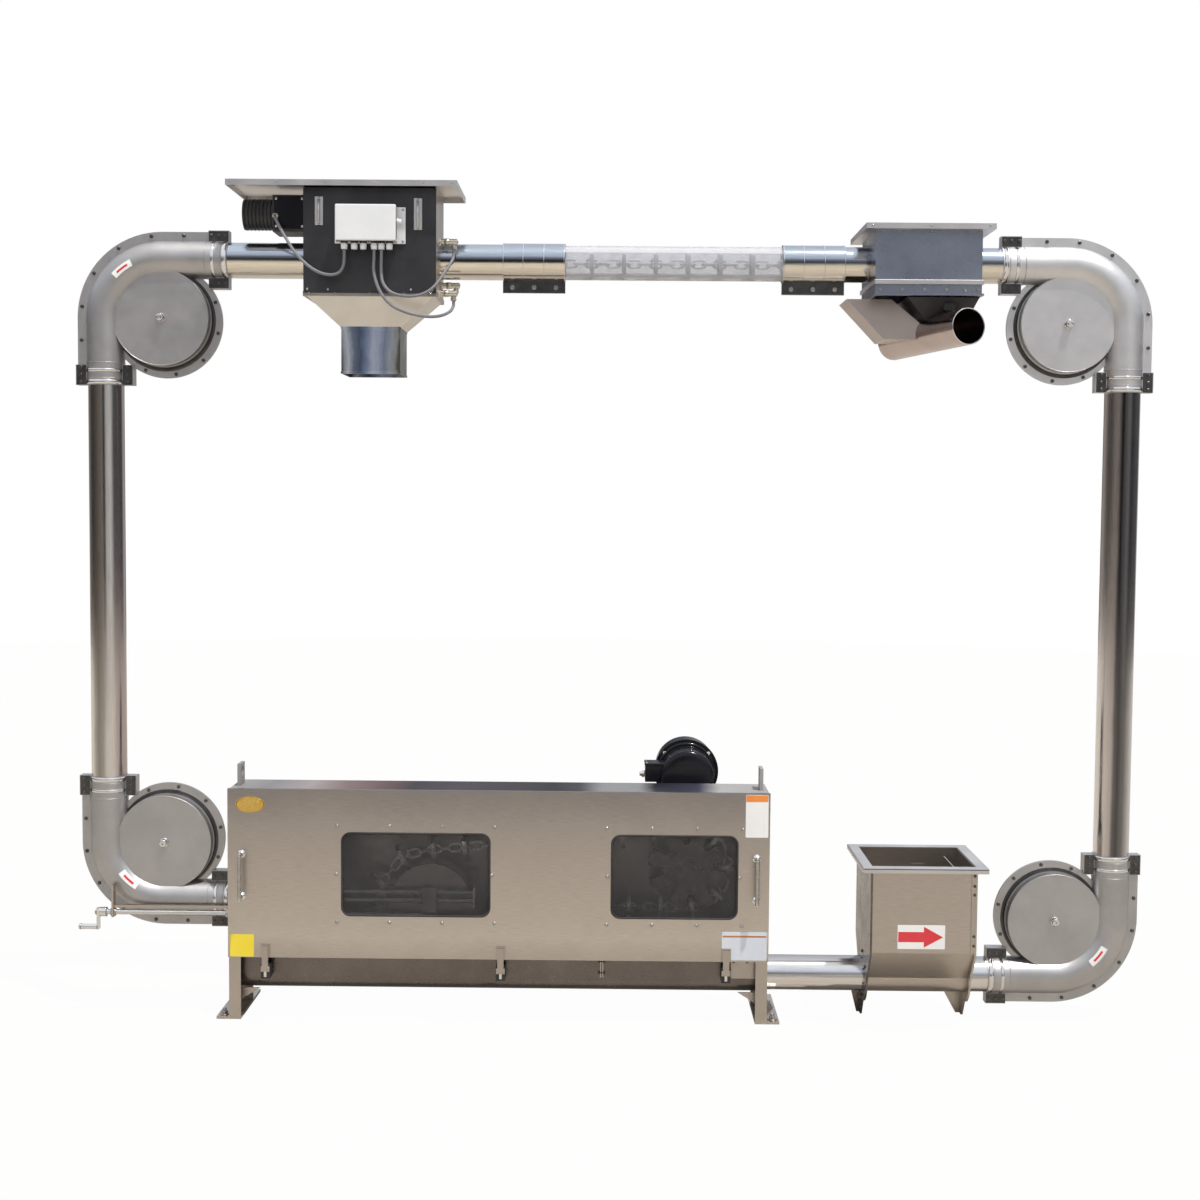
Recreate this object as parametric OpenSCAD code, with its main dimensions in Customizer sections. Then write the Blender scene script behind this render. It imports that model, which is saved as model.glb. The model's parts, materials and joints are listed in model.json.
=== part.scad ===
// Tubular chain disc conveyor: one closed loop of tube with a drive and tension box,
// a feed hopper, two discharge boxes and four corner housings.
// The floor is z = 0, the loop lies in the plane y = 0, and x = 0 is the middle of the drive box.

/* [Tube] */
// Outside diameter of the conveyor tube
tube_od = 104; // [84:2:120]
// Wall of the conveyor tube
tube_wall = 2; // [1.5:0.5:4]
// Outside diameter of the clear sight tube
sight_od = 100; // [80:2:116]
// Wall of the clear sight tube
sight_wall = 3; // [2:0.5:3.5]
// Length of the clear tube that shows
sight_len = 638; // [540:2:700]
// Length of the clamps over its ends
clamp_len = 184; // [160:2:200]
// Gap between the gate box and the first clamp
clamp_gap = 187; // [170:1:220]

/* [Loop] */
// Gap between the drive box and the stub of the lower left corner
left_gap = 7; // [6:1:150]
// Gap between the hopper and the stub of the lower right corner
right_gap = 58; // [45:1:250]
// Height of the two upper corner axes
top_axis_z = 2078; // [1950:2:2300]
// Height of the tube that leaves the drive box
run_z = 134; // [120:2:180]
// Height of the tube that enters the drive box
inlet_z = 346; // [330:2:380]
// Bend radius of the tube centre line
bend_r = 172; // [160:2:190]

/* [Corner housings] */
// Sheet thickness of the two half shells
shell_wall = 3; // [2:0.5:5]
// Thickness of the bolting flange of one half shell
flange_t = 5; // [4:1:8]
// Width of the flange outside the tube
flange_w = 30; // [24:1:36]
// Radius of the round wheel flange
wheel_flange_r = 166; // [160:1:176]
// Shift of the wheel flange away from the bend
wheel_shift = 10; // [6:1:14]
// Radius of the raised wheel cover
cover_r = 141; // [132:1:146]
// Height of the raised wheel cover over the middle plane
cover_h = 38; // [30:1:44]
// Length of the straight stub past the corner axis
stub_len = 198; // [192:1:215]
// Length of the clamping ears on a stub
ear_len = 60; // [45:1:70]
// Width of the clamping ears
ear_w = 33; // [26:1:38]
// Thickness of the clamping ears on each half
ear_t = 18; // [12:1:24]
// Radius of the wheel axle end
axle_r = 10; // [8:1:14]
// Length of the wheel axle end outside the cover
axle_out = 18; // [12:1:26]
// Hole for the flange bolts
flange_hole_r = 4.5; // [3.5:0.5:6]

/* [Drive box] */
// Width over the end plates
box_w = 1600; // [1560:10:1640]
// Depth of the box
box_d = 184; // [180:2:200]
// Underside of the front cover
box_low_z = 188; // [186:1:194]
// Top of the box
box_top_z = 690; // [680:2:720]
// Sheet thickness of the box
box_t = 3; // [2:0.5:5]
// Width of the folded strips of the end plates
strip_w = 35; // [30:1:45]
// Thickness of the end plates
end_t = 5; // [4:1:8]
// Rim that the cover folds back over the box
cover_rim = 10; // [6:1:12]
// Sheet thickness of the cover
cover_t = 2; // [1.5:0.5:4]
// Outward reach of the foot plates
foot_out = 38; // [34:1:60]
// Thickness of the foot plates
foot_t = 8; // [6:1:12]
// How far the foot plates run behind the box
foot_back = 110; // [90:5:160]
// Radius of the anchor holes
anchor_r = 7; // [5:0.5:8]
// Height of the lifting eyes
eye_h = 66; // [60:1:80]
// Thickness of the lifting eyes
eye_t = 10; // [8:1:15]
// Hole of the lifting eyes
eye_hole_r = 14; // [10:1:16]
// Radius of the cover handles
handle_r = 6; // [5:0.5:8]
// Reach of the handles in front of the cover
handle_out = 34; // [30:1:50]
// Distance between the posts of a handle
handle_h = 126; // [110:1:150]
// Inner radius of the trough under the box
trough_r = 53; // [52:1:58]

/* [Windows] */
// From the left end of the box to the left window
win_l_in = 338; // [325:1:350]
// Width of the left window
win_l_w = 435; // [400:1:450]
// From the right window to the right end of the box
win_r_in = 94; // [80:1:105]
// Width of the right window
win_r_w = 369; // [340:1:380]
// Lower edge of both windows
win_z = 318; // [300:1:330]
// Height of both windows
win_h = 244; // [220:1:260]
// Corner radius of the windows
win_corner = 24; // [12:1:36]
// Thickness of the window panes
pane_t = 6; // [4:1:8]
// Lap of a pane behind the cover
pane_lap = 22; // [15:1:30]

/* [Drive and tension] */
// From the sprocket axis to the right end of the box
sprocket_in = 234; // [220:2:260]
// Height of the sprocket axis
sprocket_z = 449; // [440:1:470]
// Discs that the sprocket holds in one turn
sprocket_slots = 8; // [8:1:9]
// From the left end of the box to the tension wheel axis
tension_in = 595; // [580:5:610]
// Height of the tension wheel axis
tension_z = 340; // [330:1:350]
// Pitch radius of the chain on the tension wheel
tension_r = 157; // [150:1:160]
// From the return wheel axis to the sprocket axis
return_in = 386; // [366:5:426]
// Radius of the two shafts in the box
shaft_r = 22; // [16:1:28]
// Radius of the tension screw
screw_r = 7.5; // [6:0.5:8]
// Height of the tension screw
screw_z = 315; // [305:1:325]
// Distance of the tension screw in front of the middle plane
screw_y = 70; // [68:1:72]
// Radius that the crank grip turns on
crank_r = 45; // [36:1:60]
// From the box to the crank
crank_out = 390; // [370:5:450]
// From the box to the bracket of the tension screw
bracket_out = 352; // [320:2:360]

/* [Motor] */
// Height of the motor axis
motor_z = 708; // [700:2:730]
// Radius of the motor body
motor_r = 80; // [70:1:90]
// Length of the motor body in front of its flange
motor_len = 115; // [100:1:130]
// Radius of the motor flange
motor_flange_r = 100; // [95:1:110]
// Depth of the gear housing
gear_d = 105; // [90:1:130]

/* [Chain] */
// Distance from disc to disc
disc_pitch = 94.5; // [94.5:0.5:96]
// Diameter of a disc
disc_d = 90; // [70:1:92]
// Thickness of a disc
disc_t = 12; // [8:1:16]
// Wire diameter of the chain links
link_wire = 8; // [6:0.5:9]

/* [Feed hopper] */
// Gap between the drive box and the hopper
hopper_gap = 294; // [280:2:320]
// Width of the hopper
hopper_w = 312; // [290:2:320]
// Half the depth of the hopper
hopper_y = 147; // [130:1:160]
// Height of the rim over the tube axis
hopper_rise = 356; // [306:2:426]
// Height over the tube axis where the walls start to slope in
hopper_bend = 99; // [86:1:116]
// Overhang of the rim
rim_out = 27; // [18:1:34]
// Sheet thickness of the hopper
hopper_t = 3; // [2:0.5:5]
// Thickness of the hopper end plates
hopper_end_t = 6; // [4:1:8]

/* [Gate box] */
// From the left corner axis to the gate box
gate_in = 434; // [425:1:445]
// Width of the gate box
gate_w = 384; // [370:1:394]
// Half the depth of the gate box
gate_y = 110; // [100:1:120]
// Depth of the gate box below the tube axis
gate_drop = 105; // [100:1:120]
// Height of the gate box
gate_h = 301; // [285:1:325]
// Sheet thickness of the gate box
gate_t = 3; // [2:0.5:5]
// Overhang of the gate box lid to the left
lid_left = 218; // [207:1:229]
// Overhang of the gate box lid to the right
lid_right = 63; // [48:1:78]
// Half the depth of the gate box lid
lid_y = 150; // [140:1:160]
// Height of the lid's folded edge
lid_h = 17; // [12:1:24]
// Width of the square spout
spout_w = 172; // [160:1:176]
// Depth of the square spout
spout_d = 164; // [150:1:170]
// Height of the funnel over the spout
funnel_h = 97; // [90:1:110]
// Length of the spout
spout_h = 133; // [110:1:160]
// Reach of the gate actuator to the left of the box
act_len = 192; // [180:1:200]
// Radius of the gate actuator motor
act_r = 45; // [38:1:50]

/* [Outlet box] */
// From the outlet box to the right corner axis
outlet_in = 584; // [575:1:592]
// Width of the outlet box
outlet_w = 306; // [296:1:310]
// Half the depth of the outlet box
outlet_y = 140; // [130:1:150]
// Depth of the outlet box below the tube axis
outlet_drop = 104; // [95:1:112]
// Height of the outlet box
outlet_h = 186; // [175:1:205]
// Overhang of the outlet box lid
outlet_lid_out = 32; // [24:1:34]
// Length of the discharge tube
discharge_len = 448; // [430:2:460]
// Angle of the discharge tube to the right of straight ahead
discharge_turn = 19; // [17:1:21]

/* [Hidden] */
$fn = 64;
fit = 0.3;
tube_r = tube_od / 2;
tube_ri = tube_r - tube_wall;
box_half = box_w / 2;
left_reach = box_half + left_gap + stub_len;
hopper_x = box_half + hopper_gap;
hopper_x1 = hopper_x + hopper_w;
right_reach = hopper_x1 + right_gap + stub_len;
top_z = top_axis_z + bend_r;
low_left_z = inlet_z + bend_r;
low_right_z = run_z + bend_r;
shell_ro = tube_r + fit + shell_wall;
shell_ri = tube_r + fit;
front_y = -box_d / 2;
back_y = box_d / 2;
win_l_x = -box_half + win_l_in;
win_r_x = box_half - win_r_in - win_r_w;
sprocket_x = box_half - sprocket_in;
tension_x = -box_half + tension_in;
return_x = sprocket_x - return_in;
hopper_top_z = run_z + hopper_rise;
hopper_bend_z = run_z + hopper_bend;
gate_x = -left_reach + gate_in;
gate_x1 = gate_x + gate_w;
gate_low_z = top_z - gate_drop;
gate_top_z = gate_low_z + gate_h;
outlet_x = right_reach - outlet_in;
outlet_x1 = outlet_x + outlet_w;
outlet_low_z = top_z - outlet_drop;
outlet_top_z = outlet_low_z + outlet_h;
disc_r = disc_d / 2;
link_pitch = disc_pitch / 3;
sprocket_r = link_pitch * (1 + cos(180 / sprocket_slots) / 2) / sin(180 / sprocket_slots);
return_r = (sprocket_z - sprocket_r - run_z) / 2;
return_z = run_z + return_r;

steel = "#b3aca2";
bright = "#c9ccd0";
blasted = "#9b9898";
black = "#26272b";

// Tube along x, from x0 to x1, at height z
module tube_x(x0, x1, z, ro, ri, y = 0) {
    translate([x0, y, z]) rotate([0, 90, 0]) difference() {
        cylinder(r = ro, h = x1 - x0);
        translate([0, 0, -1]) cylinder(r = ri, h = x1 - x0 + 2);
    }
}

// Upright tube from z0 to z1
module tube_z(x, z0, z1, ro, ri) {
    translate([x, 0, z0]) difference() {
        cylinder(r = ro, h = z1 - z0);
        translate([0, 0, -1]) cylinder(r = ri, h = z1 - z0 + 2);
    }
}

// Rod along y, centred on y
module rod_y(x, y0, y1, z, r) {
    translate([x, y0, z]) rotate([-90, 0, 0]) cylinder(r = r, h = y1 - y0);
}

// Box given by its two far corners
module span(a, b) {
    translate(a) cube(b - a);
}

// Outline in the x-z plane, extruded from y0 to y1
module slab_y(y0, y1) {
    translate([0, y1, 0]) rotate([90, 0, 0]) linear_extrude(height = y1 - y0) children();
}

// Rectangle with round corners, made of circles and squares
module round_rect(w, h, r) {
    translate([r, 0]) square([w - 2 * r, h]);
    translate([0, r]) square([w, h - 2 * r]);
    for (x = [r, w - r], z = [r, h - r]) translate([x, z]) circle(r = r);
}

// Corner housings, drawn for the upper left corner with the wheel axis at the origin
flange_r = bend_r + tube_r + flange_w;
ear_low = bend_r - tube_r - ear_w;
ear_high = bend_r + tube_r + ear_w;
bolt_in = 11;
bolt_ring_r = wheel_flange_r - bolt_in + 1;
stub_bolt = stub_len * 0.32;

module corner_outline() {
    intersection() {
        circle(r = flange_r, $fn = 128);
        translate([-flange_r, 0]) square([flange_r, flange_r]);
    }
    translate([wheel_shift, -wheel_shift]) circle(r = wheel_flange_r, $fn = 128);
    translate([0, bend_r]) square([stub_len, tube_r + flange_w]);
    translate([-bend_r - tube_r - flange_w, -stub_len]) square([tube_r + flange_w, stub_len]);
    translate([0, bend_r - tube_r]) square([stub_len, tube_r]);
    translate([-bend_r, -stub_len]) square([tube_r, stub_len]);
}

module corner_ears() {
    for (z = [ear_low, bend_r + tube_r]) translate([stub_len - ear_len, z]) square([ear_len, ear_w]);
    for (x = [-bend_r - tube_r - ear_w, -bend_r + tube_r]) translate([x, -stub_len]) square([ear_w, ear_len]);
}

// Solid of revolution round the bend plus its two straight stubs
module bend_solid(r) {
    rotate([90, 0, 0]) rotate([0, 0, 90]) rotate_extrude(angle = 90, $fn = 128)
        translate([bend_r, 0]) circle(r = r, $fn = 64);
    translate([0, 0, bend_r]) rotate([0, 90, 0]) cylinder(r = r, h = stub_len);
    translate([-bend_r, 0, -stub_len]) cylinder(r = r, h = stub_len);
}

module flange_hole(x, z) { rod_y(x, -flange_t - 1, 1, z, flange_hole_r); }

module corner_half() {
    difference() {
        union() {
            slab_y(-flange_t, 0) corner_outline();
            slab_y(-ear_t, 0) corner_ears();
            rotate([90, 0, 0]) cylinder(r = cover_r, h = cover_h, $fn = 128);
            rotate([90, 0, 0]) cylinder(r = axle_r, h = cover_h + axle_out);
            bend_solid(shell_ro);
        }
        bend_solid(shell_ri);
        rotate([90, 0, 0]) translate([0, 0, -1]) cylinder(r = cover_r - shell_wall, h = cover_h - shell_wall + 1, $fn = 128);
        span([-flange_r - 1, 0, -flange_r - 1], [flange_r + 1, 2 * tube_od, flange_r + 1]);
        for (a = [98 : 24.6 : 172]) flange_hole((flange_r - bolt_in) * cos(a), (flange_r - bolt_in) * sin(a));
        for (a = [-114 : 34 : 22])
            flange_hole(wheel_shift + bolt_ring_r * cos(a), -wheel_shift + bolt_ring_r * sin(a));
        flange_hole(stub_bolt, flange_r - bolt_in);
        flange_hole(-flange_r + bolt_in, -stub_bolt);
    }
}

module corner_pair(x, z, mx, mz, front) {
    color(blasted) translate([x, 0, z]) mirror([mx, 0, 0]) mirror([0, 0, mz]) mirror([0, front ? 0 : 1, 0])
        corner_half();
}
module corner_tl_front() { corner_pair(-left_reach, top_axis_z, 0, 0, true); }
module corner_tl_back() { corner_pair(-left_reach, top_axis_z, 0, 0, false); }
module corner_tr_front() { corner_pair(right_reach, top_axis_z, 1, 0, true); }
module corner_tr_back() { corner_pair(right_reach, top_axis_z, 1, 0, false); }
module corner_bl_front() { corner_pair(-left_reach, low_left_z, 0, 1, true); }
module corner_bl_back() { corner_pair(-left_reach, low_left_z, 0, 1, false); }
module corner_br_front() { corner_pair(right_reach, low_right_z, 1, 1, true); }
module corner_br_back() { corner_pair(right_reach, low_right_z, 1, 1, false); }

// Tubes, each seated some way inside the corner stubs
seat_depth = 90;
stub_l_x = -left_reach + stub_len;
stub_r_x = right_reach - stub_len;
clamp_l_x = gate_x1 + clamp_gap;
clamp_r_x = clamp_l_x + clamp_len + sight_len;
grip = clamp_len / 3 - 1;
sight_x0 = clamp_l_x + clamp_len - grip;
sight_x1 = clamp_r_x + grip;

module left_riser() {
    color(bright) tube_z(-left_reach - bend_r, low_left_z + stub_len - seat_depth,
        top_axis_z - stub_len + seat_depth, tube_r, tube_ri);
}
module right_riser() {
    color(bright) tube_z(right_reach + bend_r, low_right_z + stub_len - seat_depth,
        top_axis_z - stub_len + seat_depth, tube_r, tube_ri);
}
module top_tube_left() {
    color(bright) difference() {
        tube_x(stub_l_x - seat_depth, sight_x0 - 1, top_z, tube_r, tube_ri);
        span([gate_x + 60, -tube_od, top_z - tube_od], [gate_x + gate_w - 60, tube_od, top_z - tube_r / 3]);
    }
}
module top_tube_right() {
    color(bright) difference() {
        tube_x(sight_x1 + 1, stub_r_x + seat_depth, top_z, tube_r, tube_ri);
        span([outlet_x + 60, -tube_od, top_z - tube_od],
            [outlet_x + outlet_w - 60, tube_od, top_z - tube_r / 3]);
    }
}
module bottom_tube() {
    color(bright) {
        tube_x(box_half + 0.5, hopper_x, run_z, tube_r, tube_ri);
        tube_x(hopper_x + hopper_w, stub_r_x + seat_depth, run_z, tube_r, tube_ri);
        tube_x(stub_l_x - seat_depth, -box_half - 0.5, inlet_z, tube_r, tube_ri);
    }
}
module sight_tube() {
    color("#dfe8ea", 0.4) tube_x(sight_x0, sight_x1, top_z, sight_od / 2, sight_od / 2 - sight_wall);
}

// Half shell clamps over the ends of the sight tube
module sight_clamp(x, sight_side) {
    step_x = sight_side ? x + clamp_len - grip : x + grip;
    for (s = [0, 1]) mirror([0, s, 0]) difference() {
        union() {
            tube_x(x, x + clamp_len, top_z, shell_ro, sight_od / 2 + fit);
            span([x, -flange_t, top_z - shell_ro - 34], [x + clamp_len, 0, top_z - shell_ri + 1]);
        }
        span([x - 1, 0, top_z - 2 * tube_od], [x + clamp_len + 1, 2 * tube_od, top_z + 2 * tube_od]);
        translate([sight_side ? x - 1 : step_x, 0, top_z]) rotate([0, 90, 0])
            cylinder(r = shell_ri, h = clamp_len - grip + 1);
        translate([x - 1, 0, top_z]) rotate([0, 90, 0]) cylinder(r = sight_od / 2 + fit, h = clamp_len + 2);
        for (k = [0.15, 0.5, 0.85])
            rod_y(x + k * clamp_len, -flange_t - 1, 1, top_z - shell_ro - 18, flange_hole_r);
    }
}
module sight_clamps() {
    color(steel) {
        sight_clamp(clamp_l_x, true);
        sight_clamp(clamp_r_x, false);
    }
}

// Chain: a round link is two straight wires and two half rings
link_ring_r = link_wire * 1.35;
link_half = link_pitch / 2 + fit / 2 + link_wire / 2 - link_ring_r;
module link() {
    for (s = [-1, 1]) {
        translate([-link_half, s * link_ring_r, 0]) rotate([0, 90, 0])
            cylinder(r = link_wire / 2, h = 2 * link_half, $fn = 16);
        translate([s * link_half, 0, 0]) rotate([0, 0, s * -90])
            rotate_extrude(angle = 180, $fn = 24) translate([link_ring_r, 0]) circle(r = link_wire / 2, $fn = 16);
    }
}
// Flat link for the chain in the box, with room at its ends for the turn on a wheel
flat_t = link_wire * 0.6;
flat_ro = link_ring_r + link_wire / 2;
flat_ri = flat_ro - link_wire * 0.75;
turn_gap = 0.85;
function chord(r) = sqrt(r * r - flat_t * flat_t / 4);
flat_half = (link_pitch - chord(flat_ri) - chord(flat_ri - turn_gap)) / 2;
module racetrack(r) {
    translate([-flat_half, -r]) square([2 * flat_half, 2 * r]);
    for (s = [-1, 1]) translate([s * flat_half, 0]) circle(r = r, $fn = 24);
}
module flat_link() {
    translate([0, 0, -flat_t / 2]) linear_extrude(height = flat_t) difference() {
        racetrack(flat_ro);
        racetrack(flat_ri);
    }
}
module disc() {
    rotate([0, 90, 0]) translate([0, 0, -disc_t / 2]) cylinder(r = disc_r, h = disc_t, $fn = 48);
}

// Discs behind the clear tube lie on its bottom, each on every third link
sight_disc_z = top_z - sight_od / 2 + sight_wall + disc_r + fit;
sight_disc_x = clamp_l_x + clamp_len - 16.5;
sight_links = 3 * ceil(sight_len / disc_pitch) + 1;
module sight_chain() {
    color(bright) for (k = [0 : sight_links - 1])
        translate([sight_disc_x + k * link_pitch, 0, sight_disc_z]) rotate([k * 90, 0, 0]) {
            link();
            if (k % 3 == 0) disc();
        }
}

// Chain in the box: over the tension wheel, up to the sprocket, round it and back to the return wheel.
// The turn from one disc to the next on a wheel follows from three links that pivot at their ends.
half_link = link_pitch / 2;
function wheel_turn(r) = 2 * (atan2(link_pitch, 2 * r)
    + asin(2 * link_pitch / sqrt(4 * r * r + link_pitch * link_pitch)));
function run_on_turn(r, d) = let(
    u = d - half_link,
    p = 2 * r * r + 2 * half_link * u,
    q = 2 * r * (u - half_link),
    k = 2 * r * r + half_link * half_link + u * u - 4 * link_pitch * link_pitch
) acos(k / sqrt(p * p + q * q)) - atan2(q, p);
function run_off_length(r, a) = let(
    b = 2 * r * sin(a) - 2 * half_link * cos(a),
    c = half_link * half_link + 2 * r * r * (1 - cos(a)) - 2 * r * half_link * sin(a) - 4 * link_pitch * link_pitch
) half_link - b / 2 + sqrt(b * b / 4 - c);
function on_wheel(x, z, r, a) = [x + r * cos(a), z + r * sin(a), a - 90];
function along(p, a, d) = [p[0] + d * cos(a), p[1] + d * sin(a), a];

span_x = sprocket_x - tension_x;
span_z = sprocket_z - tension_z;
span_len = sqrt(span_x * span_x + span_z * span_z);
rise = atan2(span_z, span_x) + asin((sprocket_r - tension_r) / span_len);
free_len = sqrt(span_len * span_len - pow(sprocket_r - tension_r, 2));
free_discs = floor(free_len / disc_pitch);
rest_len = free_len - free_discs * disc_pitch;
top_a = 90 + rise;
slot_step = 360 / sprocket_slots;
sprocket_top = on_wheel(sprocket_x, sprocket_z, sprocket_r, top_a);
wrap_start = run_on_turn(tension_r, rest_len);
half_turn_slots = floor((180 + rise) / slot_step);
last_a = 180 + rise - half_turn_slots * slot_step;
run_off = run_off_length(sprocket_r, last_a);
back_discs = floor((sprocket_x - run_off - return_x) / disc_pitch);
disc_places = concat(
    [for (k = [2 : -1 : 0]) on_wheel(tension_x, tension_z, tension_r, top_a + wrap_start + k * wheel_turn(tension_r))],
    [for (k = [free_discs : -1 : 1]) along(sprocket_top, rise, -k * disc_pitch)],
    [for (k = [0 : half_turn_slots]) on_wheel(sprocket_x, sprocket_z, sprocket_r, top_a - k * slot_step)],
    [for (k = [0 : back_discs]) [sprocket_x - run_off - k * disc_pitch, sprocket_z - sprocket_r, -180]]
);
module drive_chain() {
    color(bright) for (i = [0 : len(disc_places) - 1]) {
        p = disc_places[i];
        translate([p[0], 0, p[1]]) rotate([0, -p[2], 0]) {
            disc();
            rotate([i * 270, 0, 0]) flat_link();
        }
        if (i < len(disc_places) - 1) {
            n = disc_places[i + 1];
            a = along(p, p[2], half_link);
            b = along(n, n[2], -half_link);
            for (j = [1, 2]) translate([a[0] + (b[0] - a[0]) * (j / 2 - 0.25), 0, a[1] + (b[1] - a[1]) * (j / 2 - 0.25)])
                rotate([0, -atan2(b[1] - a[1], b[0] - a[0]), 0]) rotate([(3 * i + j) * 90, 0, 0]) flat_link();
        }
    }
}

// Drive box
anchor_x = box_half + foot_out / 2;
anchor_y = box_d * 0.36;
gusset_t = end_t - 1;
gusset_z = strip_w + 50;
module drive_end(hole_z) {
    difference() {
        union() {
            span([box_half - end_t, front_y, foot_t], [box_half, back_y, box_top_z - box_t]);
            span([box_half - strip_w, front_y, foot_t], [box_half, front_y + end_t, box_top_z - box_t]);
            span([box_half - strip_w, back_y - end_t, foot_t], [box_half, back_y, box_low_z]);
            span([box_half - strip_w, front_y, 0], [box_half + foot_out, back_y + foot_back, foot_t]);
            slab_y(front_y + strip_w + gusset_t, front_y + strip_w + 2 * gusset_t)
                polygon([[box_half - end_t, strip_w], [box_half - end_t, gusset_z], [box_half - gusset_z, gusset_z]]);
            slab_y(anchor_y - 7 * gusset_t, anchor_y - 6 * gusset_t)
                polygon([[box_half, foot_t], [box_half + foot_out - foot_t, foot_t], [box_half, strip_w + 25]]);
        }
        translate([box_half - end_t - 1, 0, hole_z]) rotate([0, 90, 0]) cylinder(r = tube_ri, h = end_t + 2);
        for (y = [-anchor_y, anchor_y]) translate([anchor_x, y, -1]) cylinder(r = anchor_r, h = foot_t + 2);
    }
}
module drive_end_left() {
    color(steel) difference() {
        mirror([1, 0, 0]) drive_end(inlet_z);
        translate([-box_half - 1, -screw_y, screw_z]) rotate([0, 90, 0]) cylinder(r = screw_r + fit, h = end_t + 2);
    }
}
module drive_end_right() { color(steel) drive_end(run_z); }

module drive_back_panel() {
    color(steel) difference() {
        span([-box_half + end_t + fit, back_y - box_t, box_low_z + box_t],
            [box_half - end_t - fit, back_y, box_top_z - box_t]);
        rod_y(sprocket_x, 0, 2 * box_d, sprocket_z, shaft_r + 1);
    }
}
module drive_top_plate() {
    color(steel) {
        span([-box_half, front_y, box_top_z - box_t], [box_half, back_y, box_top_z]);
        for (x = [-box_half + 14, box_half - 14 - eye_t]) difference() {
            span([x, -eye_h / 2 + 3, box_top_z], [x + eye_t, eye_h / 2 - 3, box_top_z + eye_h]);
            translate([x - 1, 0, box_top_z + eye_h * 0.64]) rotate([0, 90, 0]) cylinder(r = eye_hole_r, h = eye_t + 2);
        }
    }
}
module window_hole(x, w, grow, y0, y1) {
    slab_y(y0, y1) translate([x - grow, win_z - grow]) round_rect(w + 2 * grow, win_h + 2 * grow, win_corner + grow);
}
cover_y = front_y - fit;
module drive_front_cover() {
    color(steel) difference() {
        span([-box_half - cover_t - fit, cover_y - cover_t, box_low_z],
            [box_half + cover_t + fit, cover_y + cover_rim, box_top_z + cover_t + fit]);
        span([-box_half - fit, cover_y, box_low_z - 1], [box_half + fit, cover_y + cover_rim + 1, box_top_z + fit]);
        window_hole(win_l_x, win_l_w, 0, cover_y - 10, cover_y + 5);
        window_hole(win_r_x, win_r_w, 0, cover_y - 10, cover_y + 5);
    }
}
module cover_windows() {
    color("#4d4a48", 0.6) {
        window_hole(win_l_x, win_l_w, pane_lap, cover_y + fit, cover_y + fit + pane_t);
        window_hole(win_r_x, win_r_w, pane_lap, cover_y + fit, cover_y + fit + pane_t);
    }
}
handle_z0 = (box_low_z + box_top_z - handle_h) / 2 - 4;
handle_z = [handle_z0, handle_z0 + handle_h];
handle_x = [-box_half + strip_w + 4, box_half - strip_w - 1];
module handle(x) {
    y = cover_y - cover_t;
    for (z = handle_z) rod_y(x, y - handle_out, y, z, handle_r - 1);
    translate([x, y - handle_out, handle_z[0] - handle_r]) cylinder(r = handle_r, h = handle_z[1] - handle_z[0] + 2 * handle_r);
}
module cover_handles() { color(bright) for (x = handle_x) handle(x); }
module latch(x) {
    y = cover_y - cover_t;
    span([x - 14, y - 5, box_low_z + 4], [x + 14, y, box_low_z + 40]);
    span([x - 9, y - 11, box_low_z - 34], [x + 9, y - 5, box_low_z + 36]);
    span([x - 13, y - 6, box_low_z - 42], [x + 13, -trough_r - box_t - fit, box_low_z - 26]);
}
latch_x = [-box_half + 109, 8, box_half - 123];
module cover_latches() { color(bright) for (x = latch_x) latch(x); }

// Trough with a half round floor, hung between the strips of the end plates
module drive_trough() {
    color(steel) difference() {
        union() {
            tube_x(-box_half + end_t + fit, box_half - end_t - fit, run_z, trough_r + box_t, trough_r);
            for (s = [0, 1]) mirror([0, s, 0])
                span([-box_half + end_t + fit, trough_r, run_z], [box_half - end_t - fit, trough_r + box_t, box_low_z]);
            for (s = [0, 1]) mirror([0, s, 0])
                span([-box_half + end_t + fit, trough_r, box_low_z],
                    [box_half - end_t - fit, s == 0 ? back_y : back_y - end_t - fit, box_low_z + box_t]);
        }
        span([-box_half, -trough_r, run_z], [box_half, trough_r, run_z + trough_r + 10]);
    }
}

// Wheels and shafts in the box
cheek_y = link_ring_r + link_wire / 2 + 3;
groove = disc_r + 2;
module grooved_wheel(x, z, r, lip) {
    translate([x, 0, z]) rotate([90, 0, 0]) {
        translate([0, 0, -groove]) cylinder(r = r - disc_r - fit, h = 2 * groove, $fn = 96);
        for (s = [-groove - 4, groove]) translate([0, 0, s]) cylinder(r = r - disc_r + lip, h = 4, $fn = 96);
    }
    rod_y(x, -60, back_y - box_t, z, shaft_r);
}
sprocket_rim_r = sprocket_r + 2;
sprocket_hub_r = 38;
cheek_t = 6;
slot_r0 = sprocket_r - disc_r - 1;
slot_half = disc_t / 2 + 1;
slot_len = sprocket_rim_r + 2 - slot_r0;
slot_end = slot_half + slot_len * 0.38;
module drive_sprocket() {
    color(bright) {
        translate([sprocket_x, 0, sprocket_z]) rotate([90, 0, 0]) difference() {
            for (s = [-cheek_y - cheek_t, cheek_y]) translate([0, 0, s])
                cylinder(r = sprocket_rim_r, h = cheek_t, $fn = 96);
            for (k = [0 : sprocket_slots - 1]) rotate([0, 0, top_a + k * slot_step])
                translate([slot_r0, 0, -2 * cheek_y]) linear_extrude(height = 4 * cheek_y)
                    polygon([[0, -slot_half], [slot_len, -slot_end], [slot_len, slot_end], [0, slot_half]]);
        }
        rod_y(sprocket_x, -cheek_y - cheek_t - 6, cheek_y + cheek_t + 6, sprocket_z, sprocket_hub_r);
        rod_y(sprocket_x, -64, back_y + 130, sprocket_z, shaft_r);
    }
}
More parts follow.
